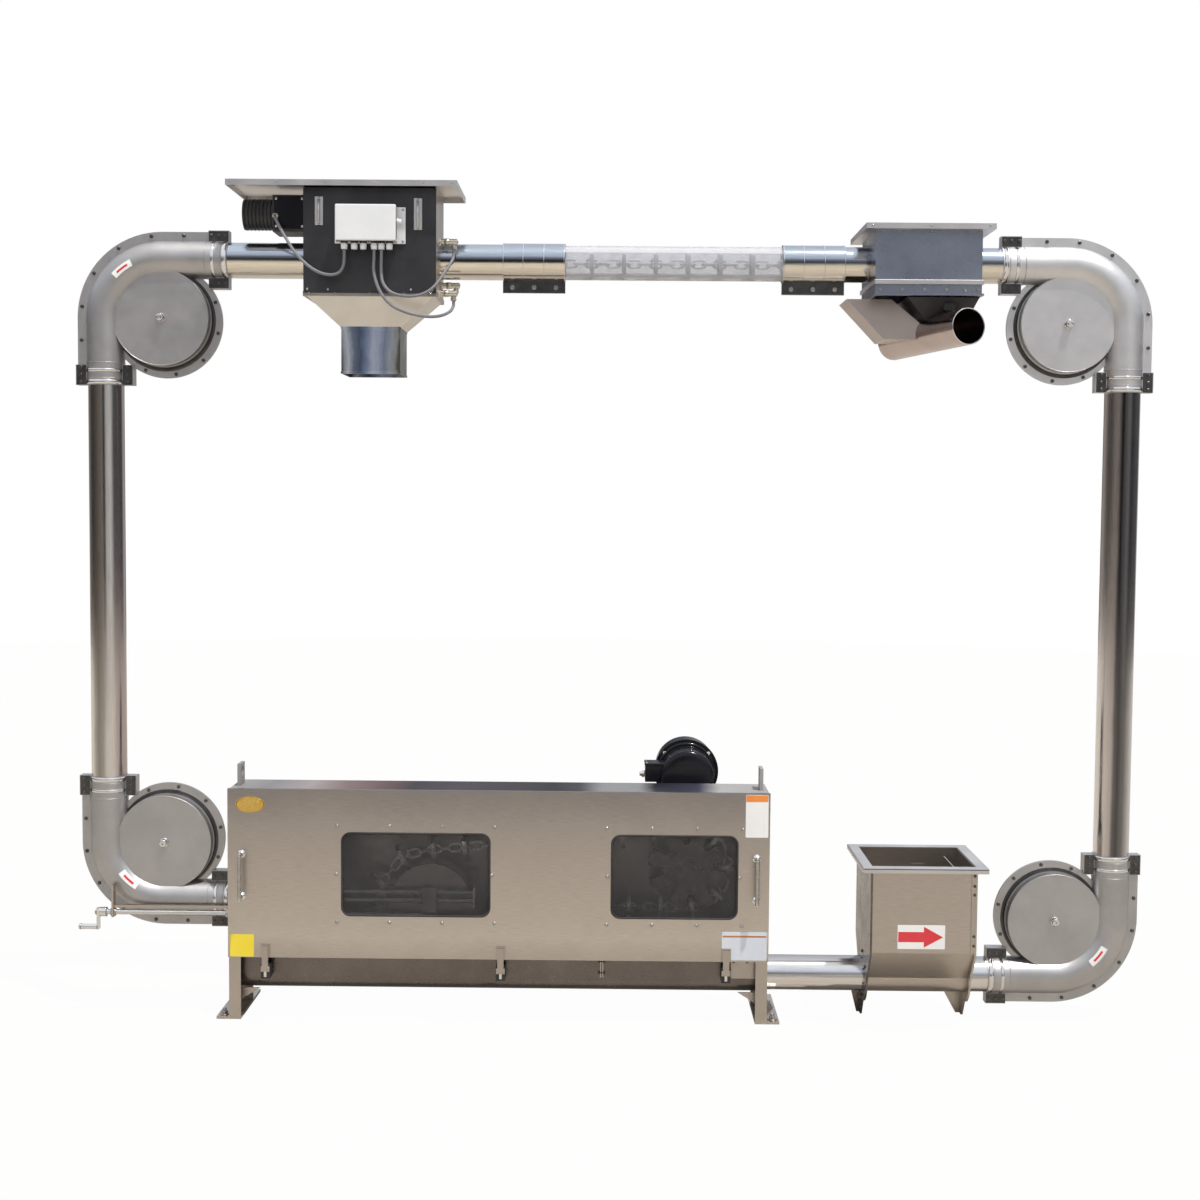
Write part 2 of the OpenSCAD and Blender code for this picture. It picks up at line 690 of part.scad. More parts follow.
block_x = tension_x - 20;
module tension_wheel() {
    color(steel) {
        grooved_wheel(tension_x, tension_z, tension_r, 12);
        difference() {
            span([block_x, -82, screw_z - 14], [block_x + 40, -60, rod_z[1] + 14]);
            for (z = rod_z) translate([block_x - 1, -rod_y0, z]) rotate([0, 90, 0]) cylinder(r = rod_r + fit, h = 42);
            translate([block_x - 1, -screw_y, screw_z]) rotate([0, 90, 0]) cylinder(r = screw_r + fit, h = 31);
        }
    }
}
module return_wheel() { color(steel) grooved_wheel(return_x, return_z, return_r, 12); }

// Guide rods of the tension block, carried by the left end plate and a bracket on the back panel
rod_z = [359, 384];
rod_r = 7;
rod_y0 = 71;
rod_end_x = tension_x + 129;
module tension_rods() {
    color(bright) {
        for (z = rod_z) translate([-box_half + end_t + fit, -rod_y0, z]) rotate([0, 90, 0])
            cylinder(r = rod_r, h = rod_end_x + box_half - end_t);
        span([rod_end_x, -rod_y0 - 11, rod_z[0] - 20], [rod_end_x + 6, back_y - box_t - fit, rod_z[1] + 16]);
    }
}

// Outside bracket that carries the tension screw
bracket_x = -box_half - bracket_out;
crank_x = -box_half - crank_out;
module tension_frame() {
    color(steel) {
        difference() {
            span([bracket_x, -screw_y - 12, screw_z - 14], [bracket_x + 6, -screw_y + 14, screw_z + 84]);
            translate([bracket_x - 1, -screw_y, screw_z]) rotate([0, 90, 0]) cylinder(r = screw_r + fit, h = 8);
        }
        span([bracket_x + 6, -screw_y - 6, screw_z + 14], [-box_half, -screw_y + 8, screw_z + 22]);
    }
}
module tension_crank() {
    color(bright) translate([crank_x, -screw_y, screw_z]) {
        rotate([0, 90, 0]) cylinder(r = screw_r, h = block_x + 28 - crank_x);
        rotate([0, 90, 0]) cylinder(r = 14, h = 20);
        span([-8, -7, -crank_r - 6], [0, 7, 12]);
        translate([-62, 0, -crank_r]) rotate([0, 90, 0]) cylinder(r = 8, h = 55);
    }
}

// Gear unit behind the box, and the motor that faces forward over it
gear_y = back_y + 8 + motor_len;
module gear_unit() {
    color(black) difference() {
        union() {
            slab_y(gear_y + 12, gear_y + 12 + gear_d) {
                translate([sprocket_x, motor_z]) circle(r = motor_flange_r - 6);
                translate([sprocket_x, sprocket_z]) circle(r = 88);
                translate([sprocket_x - 84, sprocket_z]) square([168, motor_z - sprocket_z]);
            }
            rod_y(sprocket_x, back_y + fit, gear_y + 14, sprocket_z, 58);
        }
        rod_y(sprocket_x, 0, 600, sprocket_z, shaft_r + fit);
    }
}
module drive_motor() {
    color(black) {
        rod_y(sprocket_x, gear_y - motor_len, gear_y + 1, motor_z, motor_r);
        rod_y(sprocket_x, gear_y, gear_y + 12, motor_z, motor_flange_r);
        span([sprocket_x - motor_r - 50, gear_y - 90, motor_z - 20],
            [sprocket_x - motor_r + 22, gear_y - 20, motor_z + 34]);
    }
}

// Gate box with funnel and spout
lid_x = gate_x - lid_left;
lid_x1 = gate_x1 + lid_right;
lid_under = gate_top_z + lid_h - gate_t;
module gate_housing() {
    color(steel) difference() {
        span([gate_x, -gate_y, gate_low_z], [gate_x1, gate_y, lid_under]);
        span([gate_x + gate_t, -gate_y - 1, gate_low_z - 1], [gate_x1 - gate_t, gate_y - gate_t, lid_under + 1]);
        translate([gate_x - 1, 0, top_z]) rotate([0, 90, 0]) cylinder(r = tube_r + fit, h = gate_w + 2);
    }
}
module gate_panel() {
    color(black) span([gate_x, -gate_y - 4, gate_low_z], [gate_x1, -gate_y - fit, gate_top_z]);
}
module gate_lid() {
    color(steel) difference() {
        span([lid_x, -lid_y, gate_top_z], [lid_x1, lid_y, gate_top_z + lid_h]);
        span([lid_x + gate_t, -lid_y + gate_t, gate_top_z - 1],
            [lid_x1 - gate_t, lid_y - gate_t, lid_under]);
    }
}
spout_x = (gate_x + gate_x1) / 2 - 1;
module prism_funnel(x0, x1, y, z0, z1, xb0, xb1, yb) {
    hull() {
        span([x0, -y, z1 - 0.5], [x1, y, z1]);
        span([xb0, -yb, z0], [xb1, yb, z0 + 0.5]);
    }
}
module gate_funnel() {
    color(steel) difference() {
        prism_funnel(gate_x, gate_x1, gate_y, gate_low_z - funnel_h, gate_low_z - fit,
            spout_x - spout_w / 2, spout_x + spout_w / 2, spout_d / 2);
        prism_funnel(gate_x + 3, gate_x1 - 3, gate_y - 3, gate_low_z - funnel_h - 1, gate_low_z + 1,
            spout_x - spout_w / 2 + 3, spout_x + spout_w / 2 - 3, spout_d / 2 - 3);
    }
}
spout_z1 = gate_low_z - funnel_h - fit;
module gate_spout() {
    color(bright) difference() {
        span([spout_x - spout_w / 2, -spout_d / 2, spout_z1 - spout_h], [spout_x + spout_w / 2, spout_d / 2, spout_z1]);
        span([spout_x - spout_w / 2 + 3, -spout_d / 2 + 3, spout_z1 - spout_h - 1],
            [spout_x + spout_w / 2 - 3, spout_d / 2 - 3, spout_z1 + 1]);
    }
}
act_z = gate_top_z - act_r - 17;
module gate_actuator() {
    color(black) {
        span([gate_x - act_len * 0.52, -act_r - 10, act_z - act_r - 11], [gate_x - fit, act_r + 10, act_z + act_r + 5]);
        translate([gate_x - act_len, 0, act_z]) rotate([0, 90, 0]) cylinder(r = act_r, h = act_len / 2);
    }
}
jbox_y = -gate_y - 4;
jbox_x = gate_x + 92;
jbox_z = gate_low_z + 141;
gland_x = [31, 60, 86, 117, 138, 161];
gland_r = 9;
gland_z = jbox_z - 20;
module junction_box() {
    color("#d9dadc") {
        span([jbox_x, jbox_y - 4, jbox_z], [jbox_x + 204, jbox_y - fit, jbox_z + 104]);
        span([jbox_x + 11, jbox_y - 60, jbox_z + 3], [jbox_x + 181, jbox_y - 4, jbox_z + 102]);
        for (x = gland_x) translate([jbox_x + x, jbox_y - 30, gland_z]) cylinder(r = gland_r, h = 23);
    }
}
sensor_len = 56;
sensors = [[-62, 50], [10, -68], [-70, -100]];
sensor_r = 9;
elbow_h = 22;
module gate_sensors() {
    color(bright) for (p = sensors) translate([gate_x1 + fit, p[0], top_z + p[1]]) {
        rotate([0, 90, 0]) cylinder(r = sensor_r, h = sensor_len);
        translate([sensor_len - sensor_r, 0, -elbow_h]) cylinder(r = sensor_r - 2, h = elbow_h);
    }
}

// Cable routes, chosen by hand, from the lower left edge of the gate box
cable_r = 4.5;
route_actuator = [[-91, -55, 227], [-91, -68, 227], [-85, -92, 217], [-69, -112, 189], [-45, -126, 149],
    [-17, -138, 109], [15, -146, 77], [49, -150, 55], [83, -152, 47], [107, -150, 53], [120, -147, 71],
    [123, -144, 95], [123, -144, 121]];
route_upper = [[230, -144, 121], [230, -144, 101], [230, -148, 63], [235, -154, 27], [255, -158, 1],
    [285, -160, -11], [319, -158, -13], [351, -152, -5], [375, -142, 11], [393, -124, 35], [407, -104, 61],
    [421, -82, 87], [429, -66, 107], [431, -62, 121], [431, -62, 133]];
route_lower = [[209, -144, 121], [209, -144, 99], [209, -150, 59], [219, -154, 19], [239, -158, -17],
    [267, -160, -43], [303, -160, -59], [339, -154, -67], [371, -138, -69], [399, -112, -63],
    [421, -84, -49], [430, -71, -33], [431, -70, -25], [431, -70, -17]];
function path_dir(p, i) = let(a = p[max(i - 1, 0)], b = p[min(i + 1, len(p) - 1)], d = b - a) d / norm(d);
module swept_cable(p, r) {
    n = 8;
    rings = [for (i = [0 : len(p) - 1])
        let(d = path_dir(p, i), u0 = cross(d, [0.13, 1, 0.07]), u = u0 / norm(u0), v = cross(d, u))
        [for (k = [0 : n - 1]) p[i] + r * cos(k * 360 / n) * u + r * sin(k * 360 / n) * v]];
    pts = [for (ring = rings) for (q = ring) q];
    last = (len(p) - 1) * n;
    faces = concat(
        [[for (k = [0 : n - 1]) k]],
        [[for (k = [n - 1 : -1 : 0]) last + k]],
        [for (i = [0 : len(p) - 2]) for (k = [0 : n - 1])
            [i * n + k, (i + 1) * n + k, (i + 1) * n + (k + 1) % n, i * n + (k + 1) % n]]
    );
    polyhedron(points = pts, faces = faces);
}
module gate_cable(route) { color("#4a4b4f") translate([gate_x, 0, gate_low_z]) swept_cable(route, cable_r); }
module cable_actuator() { gate_cable(route_actuator); }
module cable_upper() { gate_cable(route_upper); }
module cable_lower() { gate_cable(route_lower); }

// Outlet box, its lid, funnel, chute and discharge tube
module outlet_box() {
    color(steel) difference() {
        union() {
            span([outlet_x, -outlet_y, outlet_low_z + 6], [outlet_x1, outlet_y, outlet_top_z]);
            span([outlet_x - 4, -outlet_y - 12, outlet_low_z], [outlet_x1 + 4, outlet_y + 12, outlet_low_z + 6]);
        }
        span([outlet_x + 3, -outlet_y + 3, outlet_low_z - 1], [outlet_x1 - 3, outlet_y - 3, outlet_top_z + 1]);
        translate([outlet_x - 10, 0, top_z]) rotate([0, 90, 0]) cylinder(r = tube_r + fit, h = outlet_w + 20);
    }
}
module outlet_lid() {
    color(steel) span([outlet_x - outlet_lid_out, -outlet_y - outlet_lid_out, outlet_top_z + fit],
        [outlet_x1 + outlet_lid_out, outlet_y + outlet_lid_out, outlet_top_z + fit + 16]);
}
funnel_x0 = outlet_x + 100;
funnel_x1 = outlet_x + outlet_w;
discharge_a = [outlet_x + 107, outlet_y + 55, outlet_low_z - 107];
discharge_rise = 1.6;
module along_discharge() {
    translate(discharge_a) rotate([0, 0, discharge_turn]) rotate([90 - discharge_rise, 0, 0]) children();
}
module outlet_funnel() {
    color(black) difference() {
        prism_funnel(funnel_x0, funnel_x1, outlet_y - 30, discharge_a[2] + 20, outlet_low_z - fit,
            funnel_x0 + 84, funnel_x1 - 39, 60);
        prism_funnel(funnel_x0 + 3, funnel_x1 - 3, outlet_y - 33, discharge_a[2] + 19, outlet_low_z + 1,
            funnel_x0 + 87, funnel_x1 - 42, 57);
        along_discharge() translate([0, 0, -50]) cylinder(r = tube_r + fit, h = discharge_len + 100);
    }
}
module chute_section(grow) {
    z = outlet_low_z + (grow > 0 ? -fit : 1);
    translate([outlet_x, 0]) polygon([[-66 - grow, z], [60 + grow / 2, z], [152 - grow, outlet_low_z - 73 + grow / 2],
        [152 - grow, outlet_low_z - 113 - grow], [42 - grow / 2, outlet_low_z - 113 - grow]]);
}
module outlet_chute() {
    color(steel) difference() {
        slab_y(-45, 130) chute_section(3);
        slab_y(-42, 127) chute_section(0);
        along_discharge() translate([0, 0, -50]) cylinder(r = tube_r + fit, h = discharge_len + 100);
    }
}
module discharge_tube() {
    color(bright) along_discharge() difference() {
        cylinder(r = tube_r, h = discharge_len);
        translate([0, 0, tube_wall]) cylinder(r = tube_ri, h = discharge_len);
    }
}

// Feed hopper over the lower tube
module hopper_section(grow) {
    r = tube_ri + grow;
    y = hopper_y - hopper_t + grow;
    polygon(concat(
        [[y, hopper_top_z - 2 + grow], [y, hopper_bend_z]],
        [for (a = [0 : -7.5 : -180]) [r * cos(a), run_z + r * sin(a)]],
        [[-y, hopper_bend_z], [-y, hopper_top_z - 2 + grow]]
    ));
}
module section_x(x0, x1) {
    translate([x0, 0, 0]) rotate([90, 0, 90]) linear_extrude(height = x1 - x0) children();
}
module hopper_body() {
    color(steel) section_x(hopper_x + hopper_end_t + fit, hopper_x1 - hopper_end_t - fit) difference() {
        hopper_section(hopper_t);
        hopper_section(0);
        translate([-hopper_y - 1, hopper_top_z - 3]) square([2 * hopper_y + 2, 10]);
    }
}
module hopper_rim() {
    color(steel) difference() {
        span([hopper_x - rim_out, -hopper_y - rim_out - 6, hopper_top_z - 3], [hopper_x1 + rim_out, hopper_y + rim_out + 6, hopper_top_z]);
        span([hopper_x + 4, -hopper_y + 4, hopper_top_z - 4], [hopper_x1 - 4, hopper_y - 4, hopper_top_z + 1]);
    }
}
brace_w = 60;
brace_h = run_z - tube_r - 6;
module hopper_end() {
    section_x(0, hopper_end_t) difference() {
        union() {
            translate([0, run_z]) circle(r = tube_r + 30);
            polygon([[-tube_r - 30, run_z], [-hopper_y - 4, hopper_bend_z - 8], [-hopper_y - 4, hopper_top_z - 3 - fit],
                [hopper_y + 4, hopper_top_z - 3 - fit], [hopper_y + 4, hopper_bend_z - 8], [tube_r + 30, run_z]]);
            polygon([[-60, run_z], [30, 0], [70, 0], [80, run_z]]);
        }
        translate([0, run_z]) circle(r = tube_ri);
    }
}
module hopper_end_left() {
    color(steel) {
        translate([hopper_x, 0, 0]) hopper_end();
        slab_y(52, 56) polygon([[hopper_x + 1, 0], [hopper_x - 8, 0], [hopper_x - brace_w / 2, brace_h * 1.15],
            [hopper_x + 1, brace_h * 1.15]]);
    }
}
module hopper_end_right() {
    color(steel) {
        translate([hopper_x1 - hopper_end_t, 0, 0]) hopper_end();
        slab_y(52, 56) polygon([[hopper_x1 - 1, 0], [hopper_x1 - 18, 0], [hopper_x1 - brace_w, brace_h],
            [hopper_x1 - 1, brace_h]]);
    }
}

drive_end_left();
drive_end_right();
drive_back_panel();
drive_top_plate();
drive_front_cover();
cover_handles();
cover_latches();
cover_windows();
drive_trough();
drive_sprocket();
tension_wheel();
return_wheel();
tension_rods();
tension_frame();
tension_crank();
gear_unit();
drive_motor();
corner_tl_front();
corner_tl_back();
corner_tr_front();
corner_tr_back();
corner_bl_front();
corner_bl_back();
corner_br_front();
corner_br_back();
left_riser();
right_riser();
top_tube_left();
top_tube_right();
bottom_tube();
sight_tube();
sight_clamps();
sight_chain();
drive_chain();
gate_housing();
gate_panel();
gate_lid();
gate_funnel();
gate_spout();
gate_actuator();
junction_box();
gate_sensors();
cable_actuator();
cable_upper();
cable_lower();
outlet_box();
outlet_lid();
outlet_funnel();
outlet_chute();
discharge_tube();
hopper_body();
hopper_rim();
hopper_end_left();
hopper_end_right();
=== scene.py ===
"""Looks of the chain disc conveyor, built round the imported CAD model. Units are metres."""

import json
import math

import bmesh
import bpy
from mathutils import Matrix, Vector


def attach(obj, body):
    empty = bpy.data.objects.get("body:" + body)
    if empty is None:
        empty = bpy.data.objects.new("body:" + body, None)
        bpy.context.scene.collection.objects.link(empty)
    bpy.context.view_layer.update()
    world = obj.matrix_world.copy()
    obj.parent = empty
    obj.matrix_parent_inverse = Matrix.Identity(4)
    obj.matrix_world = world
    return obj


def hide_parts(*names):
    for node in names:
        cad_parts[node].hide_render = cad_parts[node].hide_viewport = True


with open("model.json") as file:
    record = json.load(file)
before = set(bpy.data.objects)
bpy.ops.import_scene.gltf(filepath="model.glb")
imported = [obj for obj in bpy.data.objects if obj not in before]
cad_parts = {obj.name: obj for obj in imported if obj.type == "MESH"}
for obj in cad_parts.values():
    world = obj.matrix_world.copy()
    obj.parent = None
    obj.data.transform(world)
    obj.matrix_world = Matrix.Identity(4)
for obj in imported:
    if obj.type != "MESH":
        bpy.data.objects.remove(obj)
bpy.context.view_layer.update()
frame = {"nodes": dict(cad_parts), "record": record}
NODES = frame["nodes"]
MM = 0.001
X, Y, Z = Vector((1, 0, 0)), Vector((0, 1, 0)), Vector((0, 0, 1))


# ---------------------------------------------------------------- camera
def make_camera():
    data = bpy.data.cameras.new("camera")
    data.sensor_width = 36.0
    data.lens = 52.92
    data.clip_end = 100.0
    cam = bpy.data.objects.new("camera", data)
    bpy.context.scene.collection.objects.link(cam)
    turn = (Matrix.Rotation(math.radians(0.398), 4, "Z")
            @ Matrix.Rotation(math.radians(90 - 3.427), 4, "X")
            @ Matrix.Rotation(math.radians(0.465), 4, "Z"))
    cam.matrix_world = Matrix.Translation((0.3304, -5.2554, 1.5691)) @ turn
    bpy.context.scene.camera = cam


make_camera()


# ---------------------------------------------------------------- mesh helpers
def basis(axis):
    """Two unit vectors square to axis."""
    axis = Vector(axis).normalized()
    side = axis.cross(Z) if abs(axis.z) < 0.9 else axis.cross(X)
    side.normalize()
    return side, axis.cross(side)


class Mesh:
    """Collects pieces of mesh in millimetres and turns them into one object."""

    def __init__(self):
        self.bm = bmesh.new()

    def ring(self, centre, axis, r, n, twist=0.0):
        u, v = basis(axis)
        return [self.bm.verts.new(Vector(centre) + r * (math.cos(a) * u + math.sin(a) * v))
                for a in [twist + 2 * math.pi * k / n for k in range(n)]]

    def skin(self, rings, closed=False, caps=True, smooth=True):
        pairs = list(zip(rings, rings[1:])) + ([(rings[-1], rings[0])] if closed else [])
        for a, b in pairs:
            n = len(a)
            for k in range(n):
                f = self.bm.faces.new((a[k], a[(k + 1) % n], b[(k + 1) % n], b[k]))
                f.smooth = smooth
        if caps and not closed:
            self.bm.faces.new(list(reversed(rings[0])))
            self.bm.faces.new(rings[-1])

    def lathe(self, start, axis, profile, n=24, twist=0.0, smooth=True):
        """profile is a list of (distance along axis, radius)."""
        axis = Vector(axis).normalized()
        rings = [self.ring(Vector(start) + axis * d, axis, max(r, 0.01), n, twist) for d, r in profile]
        self.skin(rings, smooth=smooth)

    def rod(self, a, b, r, n=16, smooth=True, chamfer=0.0):
        a, b = Vector(a), Vector(b)
        length = (b - a).length
        if chamfer:
            profile = [(0, r - chamfer), (chamfer, r), (length - chamfer, r), (length, r - chamfer)]
        else:
            profile = [(0, r), (length, r)]
        self.lathe(a, b - a, profile, n, smooth=smooth)

    def hexagon(self, start, axis, across, height, twist=0.3):
        r = across / math.sqrt(3)
        c = 0.12 * across
        self.lathe(start, axis, [(0, r), (height - c * 0.6, r), (height, r - c)], 6, twist, smooth=False)

    def bolt(self, at, axis, size=8.0, twist=0.3, washer=True):
        """Hex head on a washer, standing on a surface at that point."""
        at, axis = Vector(at), Vector(axis).normalized()
        lift = 0.0
        if washer:
            self.lathe(at, axis, [(-0.2, size), (0.16 * size, size), (0.2 * size, 0.95 * size)], 20)
            lift = 0.2 * size
        self.hexagon(at + axis * lift, axis, 1.6 * size, 0.65 * size, twist)

    def dome(self, at, axis, r, h, n=16):
        """Round screw head."""
        steps = 5
        profile = [(-0.1, r)] + [(h * math.sin(t), r * math.cos(t))
                                 for t in [math.pi / 2 * k / steps for k in range(steps)]] + [(h, 0.02 * r)]
        self.lathe(at, axis, profile, n)

    def box(self, lo, hi, bevel=0.0, segments=2):
        lo, hi = Vector(lo), Vector(hi)
        made = bmesh.ops.create_cube(self.bm, size=1.0)["verts"]
        for v in made:
            v.co = Vector((lo[i] + (v.co[i] + 0.5) * (hi[i] - lo[i]) for i in range(3)))
        if bevel:
            edges = list({e for v in made for e in v.link_edges})
            bmesh.ops.bevel(self.bm, geom=edges, offset=bevel, segments=segments, profile=0.5,
                            affect="EDGES", clamp_overlap=True)
        return made

    def torus(self, centre, axis, ring_r, wire_r, n=48, m=8, start=0.0, end=360.0):
        u, v = basis(axis)
        w = Vector(axis).normalized()
        full = end - start >= 360
        count = n if full else n + 1
        rings = []
        for k in range(count):
            a = math.radians(start + (end - start) * k / n)
            out = math.cos(a) * u + math.sin(a) * v
            c = Vector(centre) + ring_r * out
            rings.append([self.bm.verts.new(c + wire_r * (math.cos(b) * out + math.sin(b) * w))
                          for b in [2 * math.pi * j / m for j in range(m)]])
        self.skin(rings, closed=full)

    def sweep(self, points, r, n=12, smooth=True):
        """Tube along a list of points, with a frame carried from point to point."""
        pts = [Vector(p) for p in points]
        dirs = [(pts[min(i + 1, len(pts) - 1)] - pts[max(i - 1, 0)]).normalized() for i in range(len(pts))]
        u = basis(dirs[0])[0]
        rings = []
        for p, d in zip(pts, dirs):
            u = (u - d * u.dot(d)).normalized()
            v = d.cross(u)
            rings.append([self.bm.verts.new(p + r * (math.cos(a) * u + math.sin(a) * v))
                          for a in [2 * math.pi * k / n for k in range(n)]])
        self.skin(rings, smooth=smooth)

    def sheet(self, outline, thickness, offset=(0, 0, 0), plane="xz", bevel=0.0):
        """Flat outline of (a, b) points given thickness. plane xz faces -y, xy faces up."""
        def place(a, b, t):
            p = Vector((a, t, b)) if plane == "xz" else Vector((a, b, t)) if plane == "xy" else Vector((t, a, b))
            return p + Vector(offset)
        low = [self.bm.verts.new(place(a, b, 0)) for a, b in outline]
        high = [self.bm.verts.new(place(a, b, thickness)) for a, b in outline]
        n = len(outline)
        faces = [self.bm.faces.new(low), self.bm.faces.new(list(reversed(high)))]
        for k in range(n):
            faces.append(self.bm.faces.new((low[k], high[k], high[(k + 1) % n], low[(k + 1) % n])))
        if bevel:
            edges = list({e for f in faces[:2] for e in f.edges})
            bmesh.ops.bevel(self.bm, geom=edges, offset=bevel, segments=2, profile=0.5, affect="EDGES",
                            clamp_overlap=True)

    def make(self, name, material, body="frame", slot=None):
        bmesh.ops.recalc_face_normals(self.bm, faces=self.bm.faces)
        for v in self.bm.verts:
            v.co *= MM
        data = bpy.data.meshes.new(name)
        self.bm.to_mesh(data)
        self.bm.free()
        data.materials.append(material)
        obj = bpy.data.objects.new(name, data)
        bpy.context.scene.collection.objects.link(obj)
        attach(obj, body)
        return obj


def catmull(points, per_span=6):
    """Smooth line through the points."""
    p = [Vector(q) for q in points]
    p = [2 * p[0] - p[1]] + p + [2 * p[-1] - p[-2]]
    out = []
    for i in range(1, len(p) - 2):
        for k in range(per_span):
            t = k / per_span
            out.append(0.5 * (2 * p[i] + (p[i + 1] - p[i - 1]) * t
                              + (2 * p[i - 1] - 5 * p[i] + 4 * p[i + 1] - p[i + 2]) * t * t
                              + (3 * p[i] - p[i - 1] - 3 * p[i + 1] + p[i + 2]) * t ** 3))
    out.append(p[-2])
    return out


# ---------------------------------------------------------------- materials
class Nodes:
    """Short calls for a node tree."""

    def __init__(self, name):
        self.mat = bpy.data.materials.new(name)
        self.mat.use_nodes = True
        self.tree = self.mat.node_tree
        self.bsdf = self.tree.nodes["Principled BSDF"]
        self.coord = self.tree.nodes.new("ShaderNodeTexCoord").outputs["Object"]

    def link(self, a, b):
        self.tree.links.new(a, b)

    def scaled(self, x, y, z):
        m = self.tree.nodes.new("ShaderNodeMapping")
        m.inputs["Scale"].default_value = (x, y, z)
        self.link(self.coord, m.inputs["Vector"])
        return m.outputs["Vector"]

    def noise(self, vector, scale, detail=4.0, rough=0.55):
        n = self.tree.nodes.new("ShaderNodeTexNoise")
        n.inputs["Scale"].default_value = scale
        n.inputs["Detail"].default_value = detail
        n.inputs["Roughness"].default_value = rough
        self.link(vector, n.inputs["Vector"])
        return n.outputs["Fac"]

    def ramp(self, fac, stops):
        r = self.tree.nodes.new("ShaderNodeValToRGB")
        e = r.color_ramp.elements
        while len(e) < len(stops):
            e.new(0.5)
        for el, (pos, col) in zip(e, stops):
            el.position = pos
            el.color = (*col, 1) if len(col) == 3 else (col[0],) * 3 + (1,)
        self.link(fac, r.inputs["Fac"])
        return r.outputs["Color"]

    def spread(self, fac, low, high, from_low=0.0, from_high=1.0):
        m = self.tree.nodes.new("ShaderNodeMapRange")
        for key, value in zip(("From Min", "From Max", "To Min", "To Max"), (from_low, from_high, low, high)):
            m.inputs[key].default_value = value
        self.link(fac, m.inputs["Value"])
        return m.outputs["Result"]

    def mix(self, fac, a, b, mode="MIX"):
        m = self.tree.nodes.new("ShaderNodeMix")
        m.data_type = "RGBA"
        m.blend_type = mode
        for value, socket in ((fac, m.inputs[0]), (a, m.inputs[6]), (b, m.inputs[7])):
            if isinstance(value, bpy.types.NodeSocket):
                self.link(value, socket)
            elif isinstance(value, (int, float)):
                socket.default_value = value
            else:
                socket.default_value = (*value, 1)
        return m.outputs[2]

    def math(self, op, a, b):
        m = self.tree.nodes.new("ShaderNodeMath")
        m.operation = op
        for value, socket in ((a, m.inputs[0]), (b, m.inputs[1])):
            if isinstance(value, bpy.types.NodeSocket):
                self.link(value, socket)
            else:
                socket.default_value = value
        return m.outputs[0]

    def bump(self, height, strength, distance):
        b = self.tree.nodes.new("ShaderNodeBump")
        b.inputs["Strength"].default_value = strength
        b.inputs["Distance"].default_value = distance
        self.link(height, b.inputs["Height"])
        self.link(b.outputs["Normal"], self.bsdf.inputs["Normal"])

    def edge_wear(self):
        """1 on convex edges, for worn or polished rims."""
        g = self.tree.nodes.new("ShaderNodeNewGeometry")
        return self.spread(g.outputs["Pointiness"], 0.0, 1.0, 0.505, 0.56)


def metal(name, colour, dark, rough, grain=(1, 1, 1), grain_scale=900, rough_vary=0.12, bump=0.12, smudge=5.0,
          depth=0.0004):
    """Stainless steel: a base tone with slow smudges, and a fine grain drawn out along one axis."""
    n = Nodes(name)
    slow = n.noise(n.scaled(1, 1, 1), smudge, 5, 0.6)
    fine = n.noise(n.scaled(*grain), grain_scale, 3, 0.6)
    tone = n.ramp(slow, [(0.3, dark), (0.7, colour)])
    n.link(n.mix(n.spread(fine, 0.0, 0.35), tone, dark), n.bsdf.inputs["Base Color"])
    blotch = n.noise(n.scaled(1, 1, 1), smudge * 2.7, 6, 0.65)
    n.link(n.math("ADD", n.spread(fine, rough - rough_vary * 0.4, rough + rough_vary * 0.4),
                  n.spread(blotch, -rough_vary * 0.6, rough_vary * 0.6, 0.3, 0.7)), n.bsdf.inputs["Roughness"])
    n.bsdf.inputs["Metallic"].default_value = 1.0
    n.bump(fine, bump, depth)
    return n.mat


def coated(name, colour, light, rough, grain_scale=260, bump=0.15, coat=0.0, spec=0.5, speck=0.15):
    """Paint, moulded plastic or rubber: fine grain, slow tone change and dust."""
    n = Nodes(name)
    slow = n.noise(n.scaled(1, 1, 1), 7, 5, 0.6)
    fine = n.noise(n.scaled(1, 1, 1), grain_scale, 3, 0.6)
    tone = n.ramp(slow, [(0.35, colour), (0.75, light)])
    n.link(n.mix(n.spread(fine, 0.0, speck, 0.45, 0.75), tone, light), n.bsdf.inputs["Base Color"])
    n.link(n.spread(n.noise(n.scaled(1, 1, 1), 18, 5, 0.7), rough * 0.75, min(rough * 1.3, 1.0), 0.3, 0.7),
           n.bsdf.inputs["Roughness"])
    n.bsdf.inputs["Specular IOR Level"].default_value = spec
    if coat:
        n.bsdf.inputs["Coat Weight"].default_value = coat
        n.bsdf.inputs["Coat Roughness"].default_value = 0.08
    n.bump(fine, bump, 0.0003)
    return n.mat


